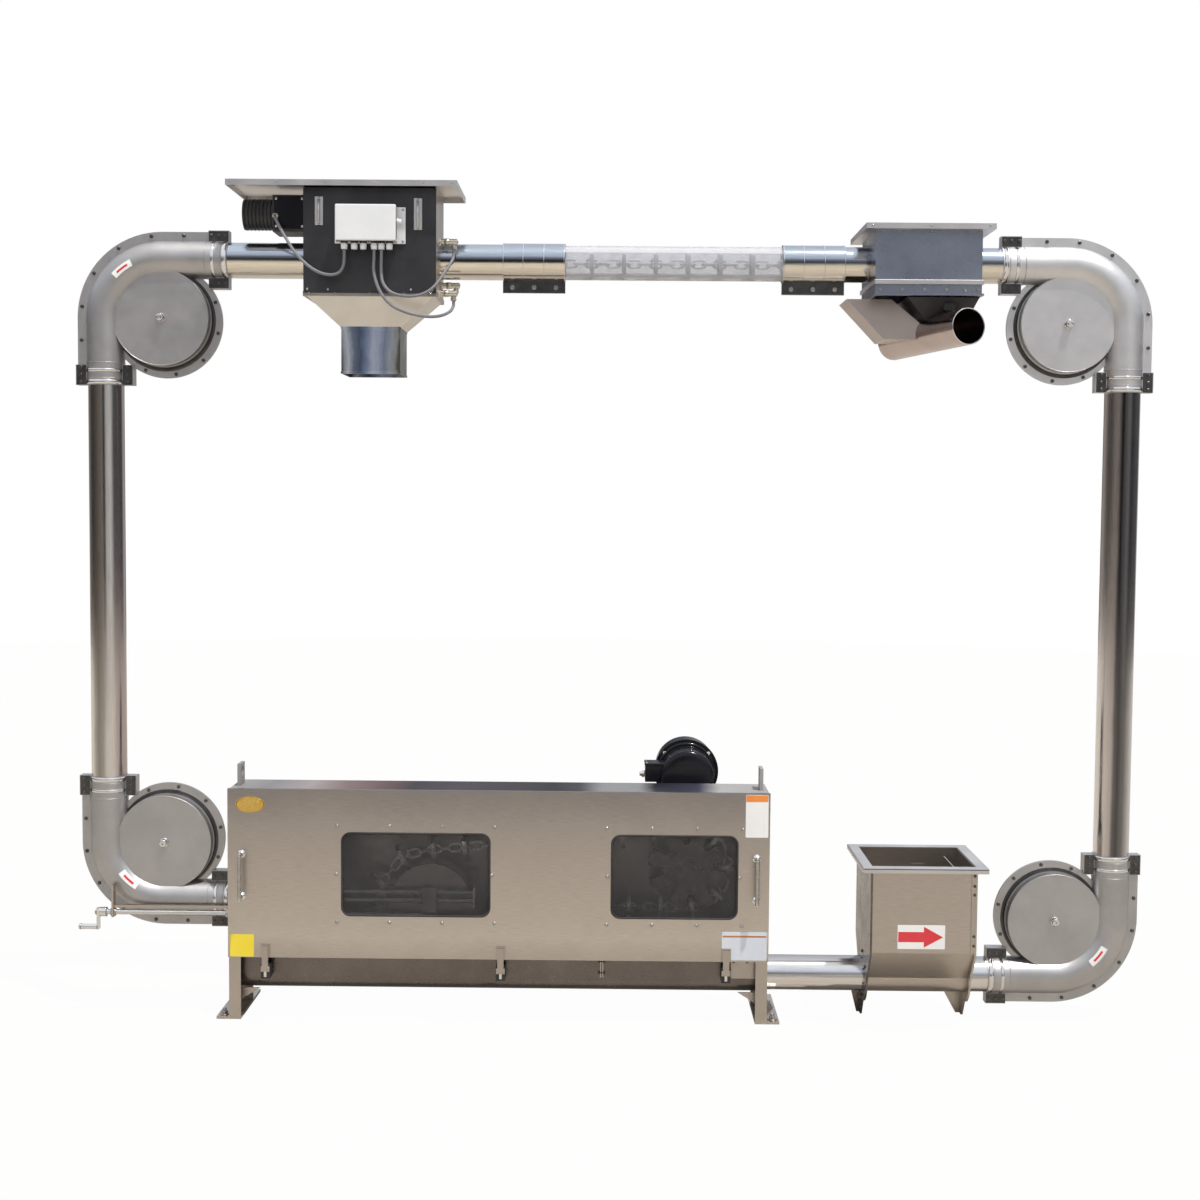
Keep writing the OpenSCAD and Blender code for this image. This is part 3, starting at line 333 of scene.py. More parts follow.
def clear(name, tint, opacity, rough=0.05, haze=0.02, body=None):
    """Clear or tinted acrylic sheet, seen through by light and camera alike."""
    n = Nodes(name)
    t = n.tree
    see = t.nodes.new("ShaderNodeBsdfTransparent")
    see.inputs["Color"].default_value = (*tint, 1)
    shine = t.nodes.new("ShaderNodeMixShader")
    n.bsdf.inputs["Base Color"].default_value = (*(body or [0.5 * c + 0.2 for c in tint]), 1)
    scratch = n.noise(n.scaled(1, 1, 9), 220, 4, 0.6)
    n.link(n.spread(scratch, rough, rough + 0.1, 0.4, 0.7), n.bsdf.inputs["Roughness"])
    fresnel = t.nodes.new("ShaderNodeFresnel")
    fresnel.inputs["IOR"].default_value = 1.49
    film = n.spread(n.noise(n.scaled(1, 1, 1), 30, 5, 0.7), opacity, opacity + haze, 0.35, 0.7)
    n.link(n.math("ADD", fresnel.outputs[0], film), shine.inputs["Fac"])
    n.link(see.outputs[0], shine.inputs[1])
    n.link(n.bsdf.outputs[0], shine.inputs[2])
    n.link(shine.outputs[0], t.nodes["Material Output"].inputs["Surface"])
    return n.mat


SATIN = metal("satin_steel", (0.53, 0.475, 0.42), (0.45, 0.405, 0.365), 0.34, grain=(0.04, 1, 1), grain_scale=700)
SATIN_UP = metal("satin_steel_upright", (0.55, 0.495, 0.44), (0.47, 0.425, 0.38), 0.34, grain=(1, 1, 0.04),
                 grain_scale=700)
POLISHED = metal("polished_steel", (0.80, 0.79, 0.78), (0.70, 0.69, 0.68), 0.13, grain=(0.03, 1, 1),
                 grain_scale=500, rough_vary=0.06, bump=0.04, smudge=9)
POLISHED_UP = metal("polished_steel_upright", (0.80, 0.78, 0.77), (0.70, 0.68, 0.67), 0.16, grain=(1, 1, 0.03),
                    grain_scale=500, rough_vary=0.06, bump=0.04, smudge=9)
BLASTED = metal("blasted_steel", (0.53, 0.515, 0.51), (0.42, 0.41, 0.41), 0.46, grain_scale=1500, rough_vary=0.08,
                bump=0.35, smudge=8)
# Lighter, greyer copy of satin steel for lids, rims, lips, ledges and latches: painted light.
SATIN_PAINTED_LIGHT = metal("satin_steel_painted_light", (0.70, 0.68, 0.68), (0.60, 0.585, 0.58), 0.40, grain=(0.04, 1, 1),
                    grain_scale=700)
# Blue-grey satin steel for the outlet box: painted reflection of the sky.
SATIN_PAINTED_SKY = metal("satin_steel_painted_sky", (0.34, 0.37, 0.44), (0.25, 0.27, 0.33), 0.30, grain=(0.04, 1, 1),
                   grain_scale=700, smudge=8)
SATIN_PINK = metal("satin_steel_pink", (0.62, 0.53, 0.48), (0.50, 0.43, 0.40), 0.36, grain=(1, 1, 0.1),
                   grain_scale=700)
SATIN_FUNNEL = metal("satin_steel_funnel", (0.74, 0.70, 0.64), (0.64, 0.60, 0.55), 0.36, grain=(1, 1, 0.04),
                      grain_scale=700)
SATIN_DARK = metal("satin_steel_shaded", (0.22, 0.195, 0.18), (0.15, 0.13, 0.12), 0.28, grain=(0.04, 1, 1),
                   grain_scale=700)
BOLT = metal("bolt_steel", (0.55, 0.54, 0.52), (0.36, 0.35, 0.34), 0.3, grain_scale=600, smudge=60)
CHAIN = metal("chain_steel", (0.72, 0.70, 0.67), (0.52, 0.50, 0.48), 0.28, grain_scale=500, smudge=25)
NICKEL = metal("nickel", (0.74, 0.70, 0.62), (0.56, 0.52, 0.45), 0.24, grain_scale=500, smudge=30)
GLOSS_BLACK = coated("gloss_black", (0.004, 0.004, 0.006), (0.010, 0.010, 0.014), 0.22, coat=0.1, spec=0.25, speck=0.05,
                     bump=0.06)
PANEL_BLACK = coated("panel_black", (0.014, 0.0135, 0.016), (0.030, 0.029, 0.033), 0.42, bump=0.2)
PLASTIC_BLACK = coated("plastic_black", (0.018, 0.018, 0.02), (0.04, 0.038, 0.038), 0.5, bump=0.3)
PLASTIC_GREY = coated("plastic_grey", (0.70, 0.71, 0.73), (0.78, 0.79, 0.80), 0.45, bump=0.1)
SHEATH = coated("cable_sheath", (0.16, 0.16, 0.175), (0.24, 0.24, 0.26), 0.5, bump=0.1)
RUBBER = coated("seal_rubber", (0.02, 0.02, 0.02), (0.05, 0.05, 0.05), 0.7, bump=0.3)
GOLD = metal("gold_plate", (0.80, 0.55, 0.16), (0.70, 0.46, 0.12), 0.3, grain_scale=400, smudge=30)
PAPER = coated("blank_label", (0.78, 0.78, 0.77), (0.85, 0.85, 0.84), 0.5, bump=0.03)
ORANGE = coated("orange_label", (0.75, 0.22, 0.04), (0.8, 0.28, 0.06), 0.45, bump=0.03)
RED = coated("red_arrow", (0.62, 0.03, 0.04), (0.68, 0.05, 0.06), 0.45, bump=0.03)
YELLOW = coated("yellow_label", (0.80, 0.62, 0.03), (0.85, 0.68, 0.06), 0.45, bump=0.03)
CLEAR = clear("clear_acrylic", (0.90, 0.905, 0.92), 0.08, haze=0.16, body=(0.80, 0.80, 0.82))
TINTED = clear("tinted_acrylic", (0.58, 0.57, 0.575), 0.02, haze=0.03)
DARK_STEEL = metal("dark_bolt_steel", (0.16, 0.155, 0.15), (0.09, 0.088, 0.085), 0.36, grain_scale=600, smudge=60)
# Near-black sheet steel laid where there is shade: painted shade.
SHADE_SHEET = metal("painted_shade_sheet", (0.13, 0.125, 0.125), (0.07, 0.068, 0.068), 0.38, grain_scale=700, smudge=30)
PINK_TUBE = metal("polished_steel_pink", (0.62, 0.52, 0.48), (0.46, 0.38, 0.36), 0.2, grain=(0.2, 1, 1),
                  grain_scale=500, rough_vary=0.06, bump=0.04, smudge=9)
# Bluish polished steel with waves: painted reflection of the sky.
MIRROR_PAINTED_SKY = metal("mirror_steel_painted_sky", (0.72, 0.76, 0.84), (0.55, 0.60, 0.70), 0.07, grain=(1, 1, 0.5), grain_scale=5,
               rough_vary=0.05, bump=1.0, smudge=14, depth=0.012)
# Lighter copy of chain steel for the chains seen through the windows: painted light.
CHAIN_PAINTED_LIGHT = metal("chain_steel_painted_light", (0.80, 0.79, 0.78), (0.62, 0.61, 0.60), 0.3, grain_scale=500, smudge=25)
PAPER_BLUE = coated("blank_label_blue", (0.60, 0.63, 0.70), (0.68, 0.71, 0.77), 0.5, bump=0.03)
GOLD_DARK = metal("gold_rim", (0.42, 0.26, 0.07), (0.34, 0.20, 0.05), 0.35, grain_scale=400, smudge=30)
ORANGE_DARK = coated("orange_stripe", (0.45, 0.16, 0.05), (0.5, 0.2, 0.07), 0.45, bump=0.03)

LOOK = {"satin_steel": SATIN, "polished_steel": POLISHED, "blasted_steel": BLASTED, "chain_steel": CHAIN,
        "clear_plastic": CLEAR, "tinted_plastic": TINTED, "black_paint": GLOSS_BLACK, "black_panel": PANEL_BLACK,
        "black_plastic": PLASTIC_BLACK, "grey_plastic": PLASTIC_GREY, "nickel": NICKEL, "cable_sheath": SHEATH}
OWN_LOOK = {"left_riser": POLISHED_UP, "right_riser": POLISHED_UP, "gate_spout": MIRROR_PAINTED_SKY,
            "drive_end_left": SATIN_UP, "drive_end_right": SATIN_UP, "hopper_end_left": SATIN_DARK,
            "hopper_end_right": SATIN_UP, "gate_lid": SATIN_PAINTED_LIGHT, "outlet_lid": SATIN_PAINTED_LIGHT,
            "hopper_rim": SATIN_PAINTED_LIGHT, "outlet_box": SATIN_PAINTED_SKY, "outlet_chute": SATIN_PINK,
            "sight_clamps": POLISHED, "cover_latches": SATIN,
            "discharge_tube": PINK_TUBE, "sight_chain": CHAIN_PAINTED_LIGHT, "cover_handles": BOLT,
            "drive_trough": SATIN_DARK, "drive_sprocket": SATIN_DARK, "drive_chain": CHAIN_PAINTED_LIGHT, "gate_funnel": SATIN_FUNNEL}


def painted_light_steel(name, axis, start, end, stops, wander=0.0, rough=(0.2, 0.34), grain=(0.04, 1, 1), grain_scale=700,
          bump=0.1, metallic=1.0):
    """Steel with painted light: broad bands of painted reflection and shade along one axis, from start to end in
    metres, under fine grain.
    """
    n = Nodes(name)
    split = n.tree.nodes.new("ShaderNodeSeparateXYZ")
    n.link(n.coord, split.inputs[0])
    drift = n.noise(n.scaled(1, 1, 1), 6, 5, 0.6)
    along = n.math("ADD", split.outputs[axis], n.spread(drift, -wander, wander))
    tone = n.ramp(n.spread(along, 0, 1, start, end), stops)
    fine = n.noise(n.scaled(*grain), grain_scale, 3, 0.6)
    shade = n.ramp(fine, [(0.3, (0.80, 0.80, 0.80)), (0.7, (1, 1, 1))])
    mix = n.tree.nodes.new("ShaderNodeMix")
    mix.data_type = "RGBA"
    mix.blend_type = "MULTIPLY"
    mix.inputs["Factor"].default_value = 1.0
    n.link(tone, mix.inputs["A"])
    n.link(shade, mix.inputs["B"])
    n.link(mix.outputs["Result"], n.bsdf.inputs["Base Color"])
    n.link(n.spread(fine, *rough), n.bsdf.inputs["Roughness"])
    n.bsdf.inputs["Metallic"].default_value = metallic
    n.bsdf.inputs["Specular IOR Level"].default_value = 0.5 if metallic else 0.1
    n.bump(fine, bump, 0.0004)
    return n.mat


# Painted reflection on the top tubes and sight clamps: pale blue sky above, a dark horizon line round the middle, pale
# ground below.
TOP_TUBE = painted_light_steel("polished_steel_top_painted_reflection", "Z", 2.196, 2.304,
                 [(0.0, (0.74, 0.71, 0.66)), (0.15, (0.68, 0.63, 0.55)), (0.32, (0.86, 0.79, 0.68)),
                  (0.45, (0.76, 0.72, 0.64)), (0.49, (0.16, 0.16, 0.17)), (0.56, (0.18, 0.19, 0.21)),
                  (0.61, (0.42, 0.46, 0.54)), (0.75, (0.60, 0.68, 0.80)), (0.90, (0.48, 0.53, 0.62)),
                  (1.0, (0.38, 0.41, 0.48))],
                 wander=0.002, rough=(0.12, 0.18), grain=(0.03, 1, 1), grain_scale=500, bump=0.04)
# Painted reflection on the bottom tube: dark underneath, light bands on either side of a grey line round the middle.
LOW_TUBE = painted_light_steel("polished_steel_low_painted_reflection", "Z", 0.082, 0.186,
                 [(0.0, (0.30, 0.28, 0.26)), (0.12, (0.52, 0.49, 0.47)), (0.28, (0.84, 0.80, 0.77)),
                  (0.46, (0.82, 0.80, 0.78)), (0.52, (0.48, 0.47, 0.47)), (0.60, (0.66, 0.66, 0.67)),
                  (0.75, (0.84, 0.84, 0.85)), (0.92, (0.62, 0.62, 0.64)), (1.0, (0.46, 0.46, 0.48))],
                 wander=0.003, rough=(0.12, 0.18), grain=(0.03, 1, 1), grain_scale=500, bump=0.04)
# Painted reflection and shade on the left riser: light edges, a dark band left of centre, a pinkish band at the right
# edge.
LEFT_TUBE = painted_light_steel("polished_steel_left_painted_reflection", "X", -1.229, -1.125,
                  [(0.0, (0.80, 0.78, 0.75)), (0.14, (0.86, 0.83, 0.80)), (0.24, (0.50, 0.47, 0.43)),
                   (0.34, (0.34, 0.31, 0.28)), (0.48, (0.42, 0.40, 0.37)), (0.58, (0.66, 0.64, 0.62)),
                   (0.76, (0.72, 0.69, 0.67)), (0.85, (0.56, 0.49, 0.49)), (1.0, (0.50, 0.44, 0.44))],
                  wander=0.003, rough=(0.14, 0.2), grain=(1, 1, 0.03), grain_scale=500, bump=0.04)
# Painted reflection and shade on the right riser: light edges, a near-black band down the middle.
RIGHT_TUBE = painted_light_steel("polished_steel_right_painted_reflection", "X", 1.782, 1.886,
                   [(0.0, (0.90, 0.87, 0.85)), (0.10, (0.76, 0.71, 0.68)), (0.30, (0.50, 0.46, 0.45)),
                    (0.37, (0.18, 0.17, 0.17)), (0.48, (0.10, 0.095, 0.10)), (0.58, (0.17, 0.165, 0.165)),
                    (0.66, (0.22, 0.215, 0.215)), (0.78, (0.46, 0.45, 0.45)), (0.90, (0.74, 0.73, 0.73)),
                    (1.0, (0.60, 0.59, 0.59))],
                   wander=0.003, rough=(0.14, 0.2), grain=(1, 1, 0.03), grain_scale=500, bump=0.04)
# Painted light and shade on the drive box front cover: lightest low down, darker towards the top.
FRONT_SHEET = painted_light_steel("satin_steel_front_painted_shade", "Z", 0.188, 0.690,
                    [(0.0, (0.58, 0.52, 0.465)), (0.12, (0.68, 0.62, 0.55)), (0.24, (0.64, 0.58, 0.515)),
                     (0.55, (0.57, 0.51, 0.46)), (0.78, (0.49, 0.445, 0.405)), (0.93, (0.40, 0.365, 0.345)),
                     (1.0, (0.36, 0.335, 0.325))], wander=0.05, rough=(0.3, 0.4))
# Painted reflection on the gate spout and its bands: blue and pale streaks of sky with dark streaks between, across its
# width.
SPOUT_PAINTED_REFLECTION = painted_light_steel("spout_painted_reflection", "X", -0.466, -0.294,
                    [(0.0, (0.10, 0.10, 0.12)), (0.06, (0.55, 0.58, 0.64)), (0.12, (0.80, 0.84, 0.92)),
                     (0.22, (0.26, 0.31, 0.42)), (0.33, (0.14, 0.18, 0.28)), (0.45, (0.32, 0.41, 0.58)),
                     (0.55, (0.66, 0.72, 0.88)), (0.66, (0.60, 0.66, 0.82)), (0.76, (0.34, 0.40, 0.55)),
                     (0.87, (0.56, 0.59, 0.64)), (0.95, (0.46, 0.46, 0.44)), (1.0, (0.16, 0.16, 0.14))],
                    wander=0.03, rough=(0.3, 0.4), grain=(1, 1, 0.04))
# Painted shade: a dark brown strip along the hopper body's left end.
HOPPER_SHEET = painted_light_steel("satin_steel_hopper_painted_shade", "X", 1.090, 1.406,
                     [(0.0, (0.12, 0.095, 0.075)), (0.014, (0.12, 0.095, 0.075)), (0.02, (0.56, 0.50, 0.445)),
                      (1.0, (0.57, 0.51, 0.455))], rough=(0.3, 0.4))
# Painted reflection on the drive box top plate: dark stripes with a few light ones along its length, on a non-metal
# sheet.
TOP_SHEET = painted_light_steel("top_plate_painted_reflection", "X", -0.8, 0.8,
                  [(0.0, (0.32, 0.31, 0.30)), (0.07, (0.22, 0.21, 0.22)), (0.14, (0.32, 0.28, 0.28)),
                   (0.21, (0.19, 0.13, 0.13)), (0.28, (0.11, 0.068, 0.07)), (0.34, (0.035, 0.029, 0.033)),
                   (0.42, (0.055, 0.042, 0.053)), (0.54, (0.035, 0.030, 0.033)), (0.60, (0.02, 0.019, 0.023)),
                   (0.65, (0.045, 0.040, 0.05)), (0.69, (0.24, 0.24, 0.25)), (0.76, (0.24, 0.24, 0.25)),
                   (0.79, (0.018, 0.017, 0.025)), (0.87, (0.045, 0.048, 0.07)), (0.91, (0.39, 0.38, 0.38)),
                   (1.0, (0.36, 0.35, 0.35))], wander=0.03, rough=(0.4, 0.5), metallic=0.0)
DISC_PALE = coated("pale_discs", (0.74, 0.74, 0.75), (0.86, 0.86, 0.86), 0.4, bump=0.1)
# Lighter copy of blasted steel for the top-right corner housing: painted light.
BLASTED_PAINTED_LIGHT = metal("blasted_steel_painted_light", (0.76, 0.75, 0.75), (0.62, 0.61, 0.61), 0.46, grain_scale=1500,
                      rough_vary=0.08, bump=0.35, smudge=8)
OWN_LOOK.update({"drive_top_plate": TOP_SHEET, "drive_front_cover": FRONT_SHEET, "gate_spout": SPOUT_PAINTED_REFLECTION,
                 "top_tube_left": TOP_TUBE, "top_tube_right": TOP_TUBE, "sight_clamps": TOP_TUBE,
                 "bottom_tube": LOW_TUBE, "hopper_body": HOPPER_SHEET, "sight_chain": DISC_PALE, "left_riser": LEFT_TUBE, "right_riser": RIGHT_TUBE,
                 "corner_tr_front": BLASTED_PAINTED_LIGHT, "corner_tr_back": BLASTED_PAINTED_LIGHT})


def dress_nodes():
    slots = {s["node"]: s["material_slot"] for s in frame["record"]["subparts"]}
    for name, obj in NODES.items():
        material = OWN_LOOK.get(name) or LOOK[slots[name]]
        obj.data.materials.clear()
        obj.data.materials.append(material)


dress_nodes()

# ---------------------------------------------------------------- cables
ROUTES = {
    "cable_actuator": [(-662, -55, 2372), (-662, -68, 2372), (-656, -92, 2362), (-640, -112, 2334),
                       (-616, -126, 2294), (-588, -138, 2254), (-556, -146, 2222), (-522, -150, 2200),
                       (-488, -152, 2192), (-464, -150, 2198), (-451, -147, 2216), (-448, -144, 2240),
                       (-448, -144, 2266)],
    "cable_upper": [(-341, -144, 2266), (-341, -144, 2246), (-341, -148, 2208), (-336, -154, 2172),
                    (-316, -158, 2146), (-286, -160, 2134), (-252, -158, 2132), (-220, -152, 2140),
                    (-196, -142, 2156), (-178, -124, 2180), (-164, -104, 2206), (-150, -82, 2232),
                    (-142, -66, 2252), (-140, -62, 2266), (-140, -62, 2278)],
    "cable_lower": [(-362, -144, 2266), (-362, -144, 2244), (-362, -150, 2204), (-352, -154, 2164),
                    (-332, -158, 2128), (-304, -160, 2102), (-268, -160, 2086), (-232, -154, 2078),
                    (-200, -138, 2076), (-172, -112, 2082), (-150, -84, 2096), (-141, -71, 2112),
                    (-140, -70, 2120), (-140, -70, 2128)],
}
CABLE_R = 4.5


def make_cables():
    for name, route in ROUTES.items():
        line = catmull(route, 4)
        m = Mesh()
        m.sweep(line, CABLE_R, 12)
        obj = m.make(name + "_sheath", SHEATH, slot="cable_sheath")
        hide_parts(name)


make_cables()

# ---------------------------------------------------------------- corner housings
CORNERS = {"tl": (-1005, 2078, 1, 1), "tr": (1662, 2078, -1, 1), "bl": (-1005, 518, 1, -1), "br": (1662, 306, -1, -1)}
BEND_R, TUBE_R, STUB, SHELL_RO = 172, 52, 198, 55.3
FLANGE_T, EAR_T, COVER_H = 5, 18, 38


def corner_fittings(name, cx, cz, mx, mz):
    def at(x, y, z):
        return Vector((cx + mx * x, y, cz + mz * z))
    bolts = Mesh()
    for side in (-1, 1):
        ring = [(243 * math.cos(math.radians(a)), 243 * math.sin(math.radians(a))) for a in (98, 122.6, 147.3, 172)]
        ring += [(62, 243), (-243, -65)]
        ring += [(10 + 156 * math.cos(math.radians(a)), -10 + 156 * math.sin(math.radians(a)))
                 for a in (-114, -80, -46, -12, 22)]
        for i, (x, z) in enumerate(ring):
            bolts.bolt(at(x, side * FLANGE_T, z), (0, side, 0), 5.5, 0.37 * i)
        for along in (146, 168, 189):
            for off in (BEND_R + TUBE_R + 18, BEND_R - TUBE_R - 16):
                bolts.bolt(at(along, side * EAR_T, off), (0, side, 0), 5.5, 0.5 * along)
                bolts.bolt(at(-off, side * EAR_T, -along), (0, side, 0), 5.5, 0.4 * along)
    bolts.make("corner_%s_bolts" % name, DARK_STEEL, slot="blasted_steel")
    # Painted shade: a dark ring round each wheel cover and dark sheets over the clamp ears.
    dark = Mesh()
    for side in (-1, 1):
        dark.skin([dark.ring(at(wheel, side * lift, -wheel), Y, r, 96) for wheel, lift, r in
                   ((2, FLANGE_T + 0.1, 142), (2, FLANGE_T + 0.9, 142.5), (5, FLANGE_T + 0.9, 150), (5, FLANGE_T + 0.1, 151))],
                  closed=True)
        for a0, a1, b0, b1 in ((138, 198, 225, 256), (138, 198, 88, 119)):
            for u0, u1, v0, v1 in ((a0, a1, b0, b1), (-b1, -b0, -a1, -a0)):
                p, q = at(u0 + 1, side * EAR_T, v0 + 1), at(u1 - 1, side * (EAR_T + 0.8), v1 - 1)
                dark.box([min(a, b) for a, b in zip(p, q)], [max(a, b) for a, b in zip(p, q)], 0.3)
    dark.make("corner_%s_dark" % name, SHADE_SHEET, slot="blasted_steel")
    bands = Mesh()
    for a0, a1 in ((150, 160), (182, 196)):
        bands.skin([bands.ring(at(a, 0, BEND_R), X, r, 72) for a, r in
                    ((a0, SHELL_RO - 0.5), (a0 + 1, SHELL_RO + 1.2), (a1 - 1, SHELL_RO + 1.2), (a1, SHELL_RO - 0.5))])
        bands.skin([bands.ring(at(-BEND_R, 0, -a), Z, r, 72) for a, r in
                    ((a0, SHELL_RO - 0.5), (a0 + 1, SHELL_RO + 1.2), (a1 - 1, SHELL_RO + 1.2), (a1, SHELL_RO - 0.5))])
    bands.make("corner_%s_bands" % name, POLISHED, slot="polished_steel")
    beads = Mesh()
    for along in (STUB - 66, STUB - 20):
        beads.torus(at(along, 0, BEND_R), X, SHELL_RO, 1.1, 64)
        beads.torus(at(-BEND_R, 0, -along), Z, SHELL_RO, 1.1, 64)
    for side in (-1, 1):
        beads.torus(at(0, side * (COVER_H - 0.6), 0), Y, 139.8, 1.6, 96)
    beads.make("corner_%s_beads" % name, BLASTED, slot="blasted_steel")
    nub = Mesh()
    for side in (-1, 1):
        nub.lathe(at(0, side * COVER_H, 0), (0, side, 0), [(0, 14), (2, 14), (2.8, 13)], 32)
        nub.lathe(at(0, side * (COVER_H + 3), 0), (0, side, 0),
                  [(0, 11.2), (13, 11.2), (15, 9.5), (15.4, 4), (14.4, 2.5)], 32)
    nub.make("corner_%s_axle" % name, POLISHED, slot="polished_steel")


for key, values in CORNERS.items():
    corner_fittings(key, *values)

# ---------------------------------------------------------------- drive box
COVER_Y = -94.3
WINDOWS = {"left": (-462, -27), "right": (337, 706)}
WIN_Z = (318, 562)


def rounded(x0, x1, z0, z1, r, n=6):
    """Outline of a rectangle with round corners."""
    out = []
    for cx, cz, start in ((x1 - r, z1 - r, 0), (x0 + r, z1 - r, 90), (x0 + r, z0 + r, 180), (x1 - r, z0 + r, 270)):
        for k in range(n + 1):
            a = math.radians(start + 90 * k / n)
            out.append((cx + r * math.cos(a), cz + r * math.sin(a)))
    return out


def window_trim(name, x0, x1):
    line = [Vector((x, COVER_Y - 0.6, z)) for x, z in rounded(x0 - 1, x1 + 1, WIN_Z[0] - 1, WIN_Z[1] + 1, 25, 8)]
    seal = Mesh()
    rings = []
    for i, p in enumerate(line):
        d = (line[(i + 1) % len(line)] - line[i - 1]).normalized()
        out = d.cross(Y)
        rings.append([seal.bm.verts.new(p + a * out + b * Y) for a, b in
                      ((-3.5, 2.6), (-3.0, -1.0), (-1.0, -1.8), (1.6, -1.6), (3.2, 0.5))])
    seal.skin(rings, closed=True)
    seal.make("window_seal_" + name, RUBBER, slot="black_plastic")
    screws = Mesh()
    xs = [x0 - 16 + (x1 - x0 + 32) * k / 3 for k in range(4)]
    spots = [(x, z) for x in xs for z in (WIN_Z[0] - 22, WIN_Z[1] + 22)]
    spots += [(x0 - 18, 440), (x1 + 7, 440)] if name == "left" else [(x0 - 14, 440), (x1 + 8, 440)]
    for x, z in spots:
        screws.lathe((x, COVER_Y + 0.3, z), -Y, [(0, 6.5), (0.9, 6.5), (1.2, 6.0)], 20)
        screws.dome((x, COVER_Y - 1.0, z), -Y, 4.8, 2.6, 18)
    screws.make("window_screws_" + name, BOLT, slot="chain_steel")


for key, (lo, hi) in WINDOWS.items():
    window_trim(key, lo, hi)


def handle_mounts():
    m = Mesh()
    for x in (-761, 764):
        for z in (372, 498):
            m.lathe((x, COVER_Y + 0.2, z), -Y, [(0, 12.5), (2.4, 12.5), (3.6, 11.2), (5, 7), (9, 6.2)], 28)
            m.torus((x, COVER_Y - 34, z), (1, 0, 0), 0.2, 6.1, 16, 12)
        for z in (366.4, 503.6):
            m.lathe((x, COVER_Y - 34, z), Z if z > 400 else -Z, [(-0.5, 6.2), (2.0, 5.4), (3.2, 3.6), (3.8, 0.5)], 20)
    m.make("handle_mounts", POLISHED, slot="polished_steel")


handle_mounts()


def plate_label(name, outline, y, thick, material, slot, bevel=0.0):
    m = Mesh()
    m.sheet(outline, thick, (0, y, 0), bevel=bevel)
    m.make(name, material, slot=slot)


def box_labels():
    oval = [(-735 + 44 * math.cos(a), 646 + 24 * math.sin(a)) for a in [2 * math.pi * k / 40 for k in range(40)]]
    plate_label("oval_plate", oval, COVER_Y - 1.4, 1.6, GOLD, "nickel", 0.4)
    rim = Mesh()
    rings = []
    for i, (a, b) in enumerate(oval):
        c = Vector((-735 + (a + 735) * 0.93, COVER_Y - 1.5, 646 + (b - 646) * 0.88))
        rings.append([rim.bm.verts.new(c + Vector(o)) for o in ((1.2, 0, 0), (0, -0.9, 0), (-1.2, 0, 0), (0, 0.4, 0))])
    rim.skin(rings, closed=True)
    rim.make("oval_plate_rim", GOLD_DARK, slot="nickel")
    plate_label("upper_label", rounded(730, 797, 561, 688, 3), COVER_Y - 0.5, 0.7, PAPER, "grey_plastic")
    plate_label("upper_label_band", rounded(731, 796, 667, 687, 2), COVER_Y - 0.8, 0.6, ORANGE, "grey_plastic")
    plate_label("lower_label", rounded(664, 797, 193, 278, 3), COVER_Y - 0.5, 0.7, PAPER_BLUE, "grey_plastic")
    plate_label("lower_label_band", rounded(666, 795, 262, 267, 1), COVER_Y - 0.8, 0.6, ORANGE_DARK, "grey_plastic")
    plate_label("left_label", rounded(-796, -725, 190, 257, 3), COVER_Y - 0.5, 0.7, YELLOW, "grey_plastic")


box_labels()


def latch_parts():
    """Bright levers and springs over the dark bodies."""
    body, bits = Mesh(), Mesh()
    for x in (-691, 8, 677):
        body.box((x - 14, -97, 124), (x + 14, -56.2, 168), 2)
        bits.rod((x - 11, -99, 158), (x + 11, -99, 158), 3.4, 16, chamfer=1)
        bits.box((x - 4, -99.5, 130), (x + 4, -96.5, 150), 0.6)
        for s in (-1, 1):
            bits.rod((x + s * 8, -99, 158), (x + s * 8, -100.6, 192), 1.6, 8)
    body.make("latch_bodies", PLASTIC_BLACK, slot="black_plastic")
    bits.make("latch_bits", POLISHED, slot="polished_steel")


latch_parts()


def trough_seam():
    m, b = Mesh(), Mesh()
    for s in (-1, 1):
        for x0, x1 in ((303, 307), (309.5, 313.5)):
            m.box((x0, s * 56 - 6, 128), (x1, s * 56 + 6, 187), 0.8)
        for z in (142, 176):
            b.rod((298, s * 60, z), (318.5, s * 60, z), 2.6, 10)
            b.hexagon((303, s * 60, z), -X, 8, 4)
            b.hexagon((313.5, s * 60, z), X, 8, 4)
    m.box((694, -57.6, 128), (790, -55.8, 187), 0.5)
    for x in (702, 742, 782):
        b.dome((x, -57.4, 178), -Y, 4, 2.4, 14)
    m.make("trough_seam", SATIN, slot="satin_steel")
    b.make("trough_bolts", DARK_STEEL, slot="chain_steel")


trough_seam()


def foot_bolts():
    m = Mesh()
    for x in (-819, 819):
        for y in (-66, 66):
            m.lathe((x, y, 8), Z, [(0, 15), (2.4, 15), (2.8, 14)], 24)
            m.hexagon((x, y, 10.6), Z, 18, 9, 0.2 + x * 0.01)
            m.rod((x, y, 2), (x, y, 27), 5.8, 16, chamfer=1)
    for s in (-1, 1):
        for y in (-70, 0, 70):
            for z in (640, 560):
                m.bolt((s * 800, y, z), (s, 0, 0), 5.5, 0.3 * z)
    m.make("foot_bolts", BOLT, slot="chain_steel")


foot_bolts()


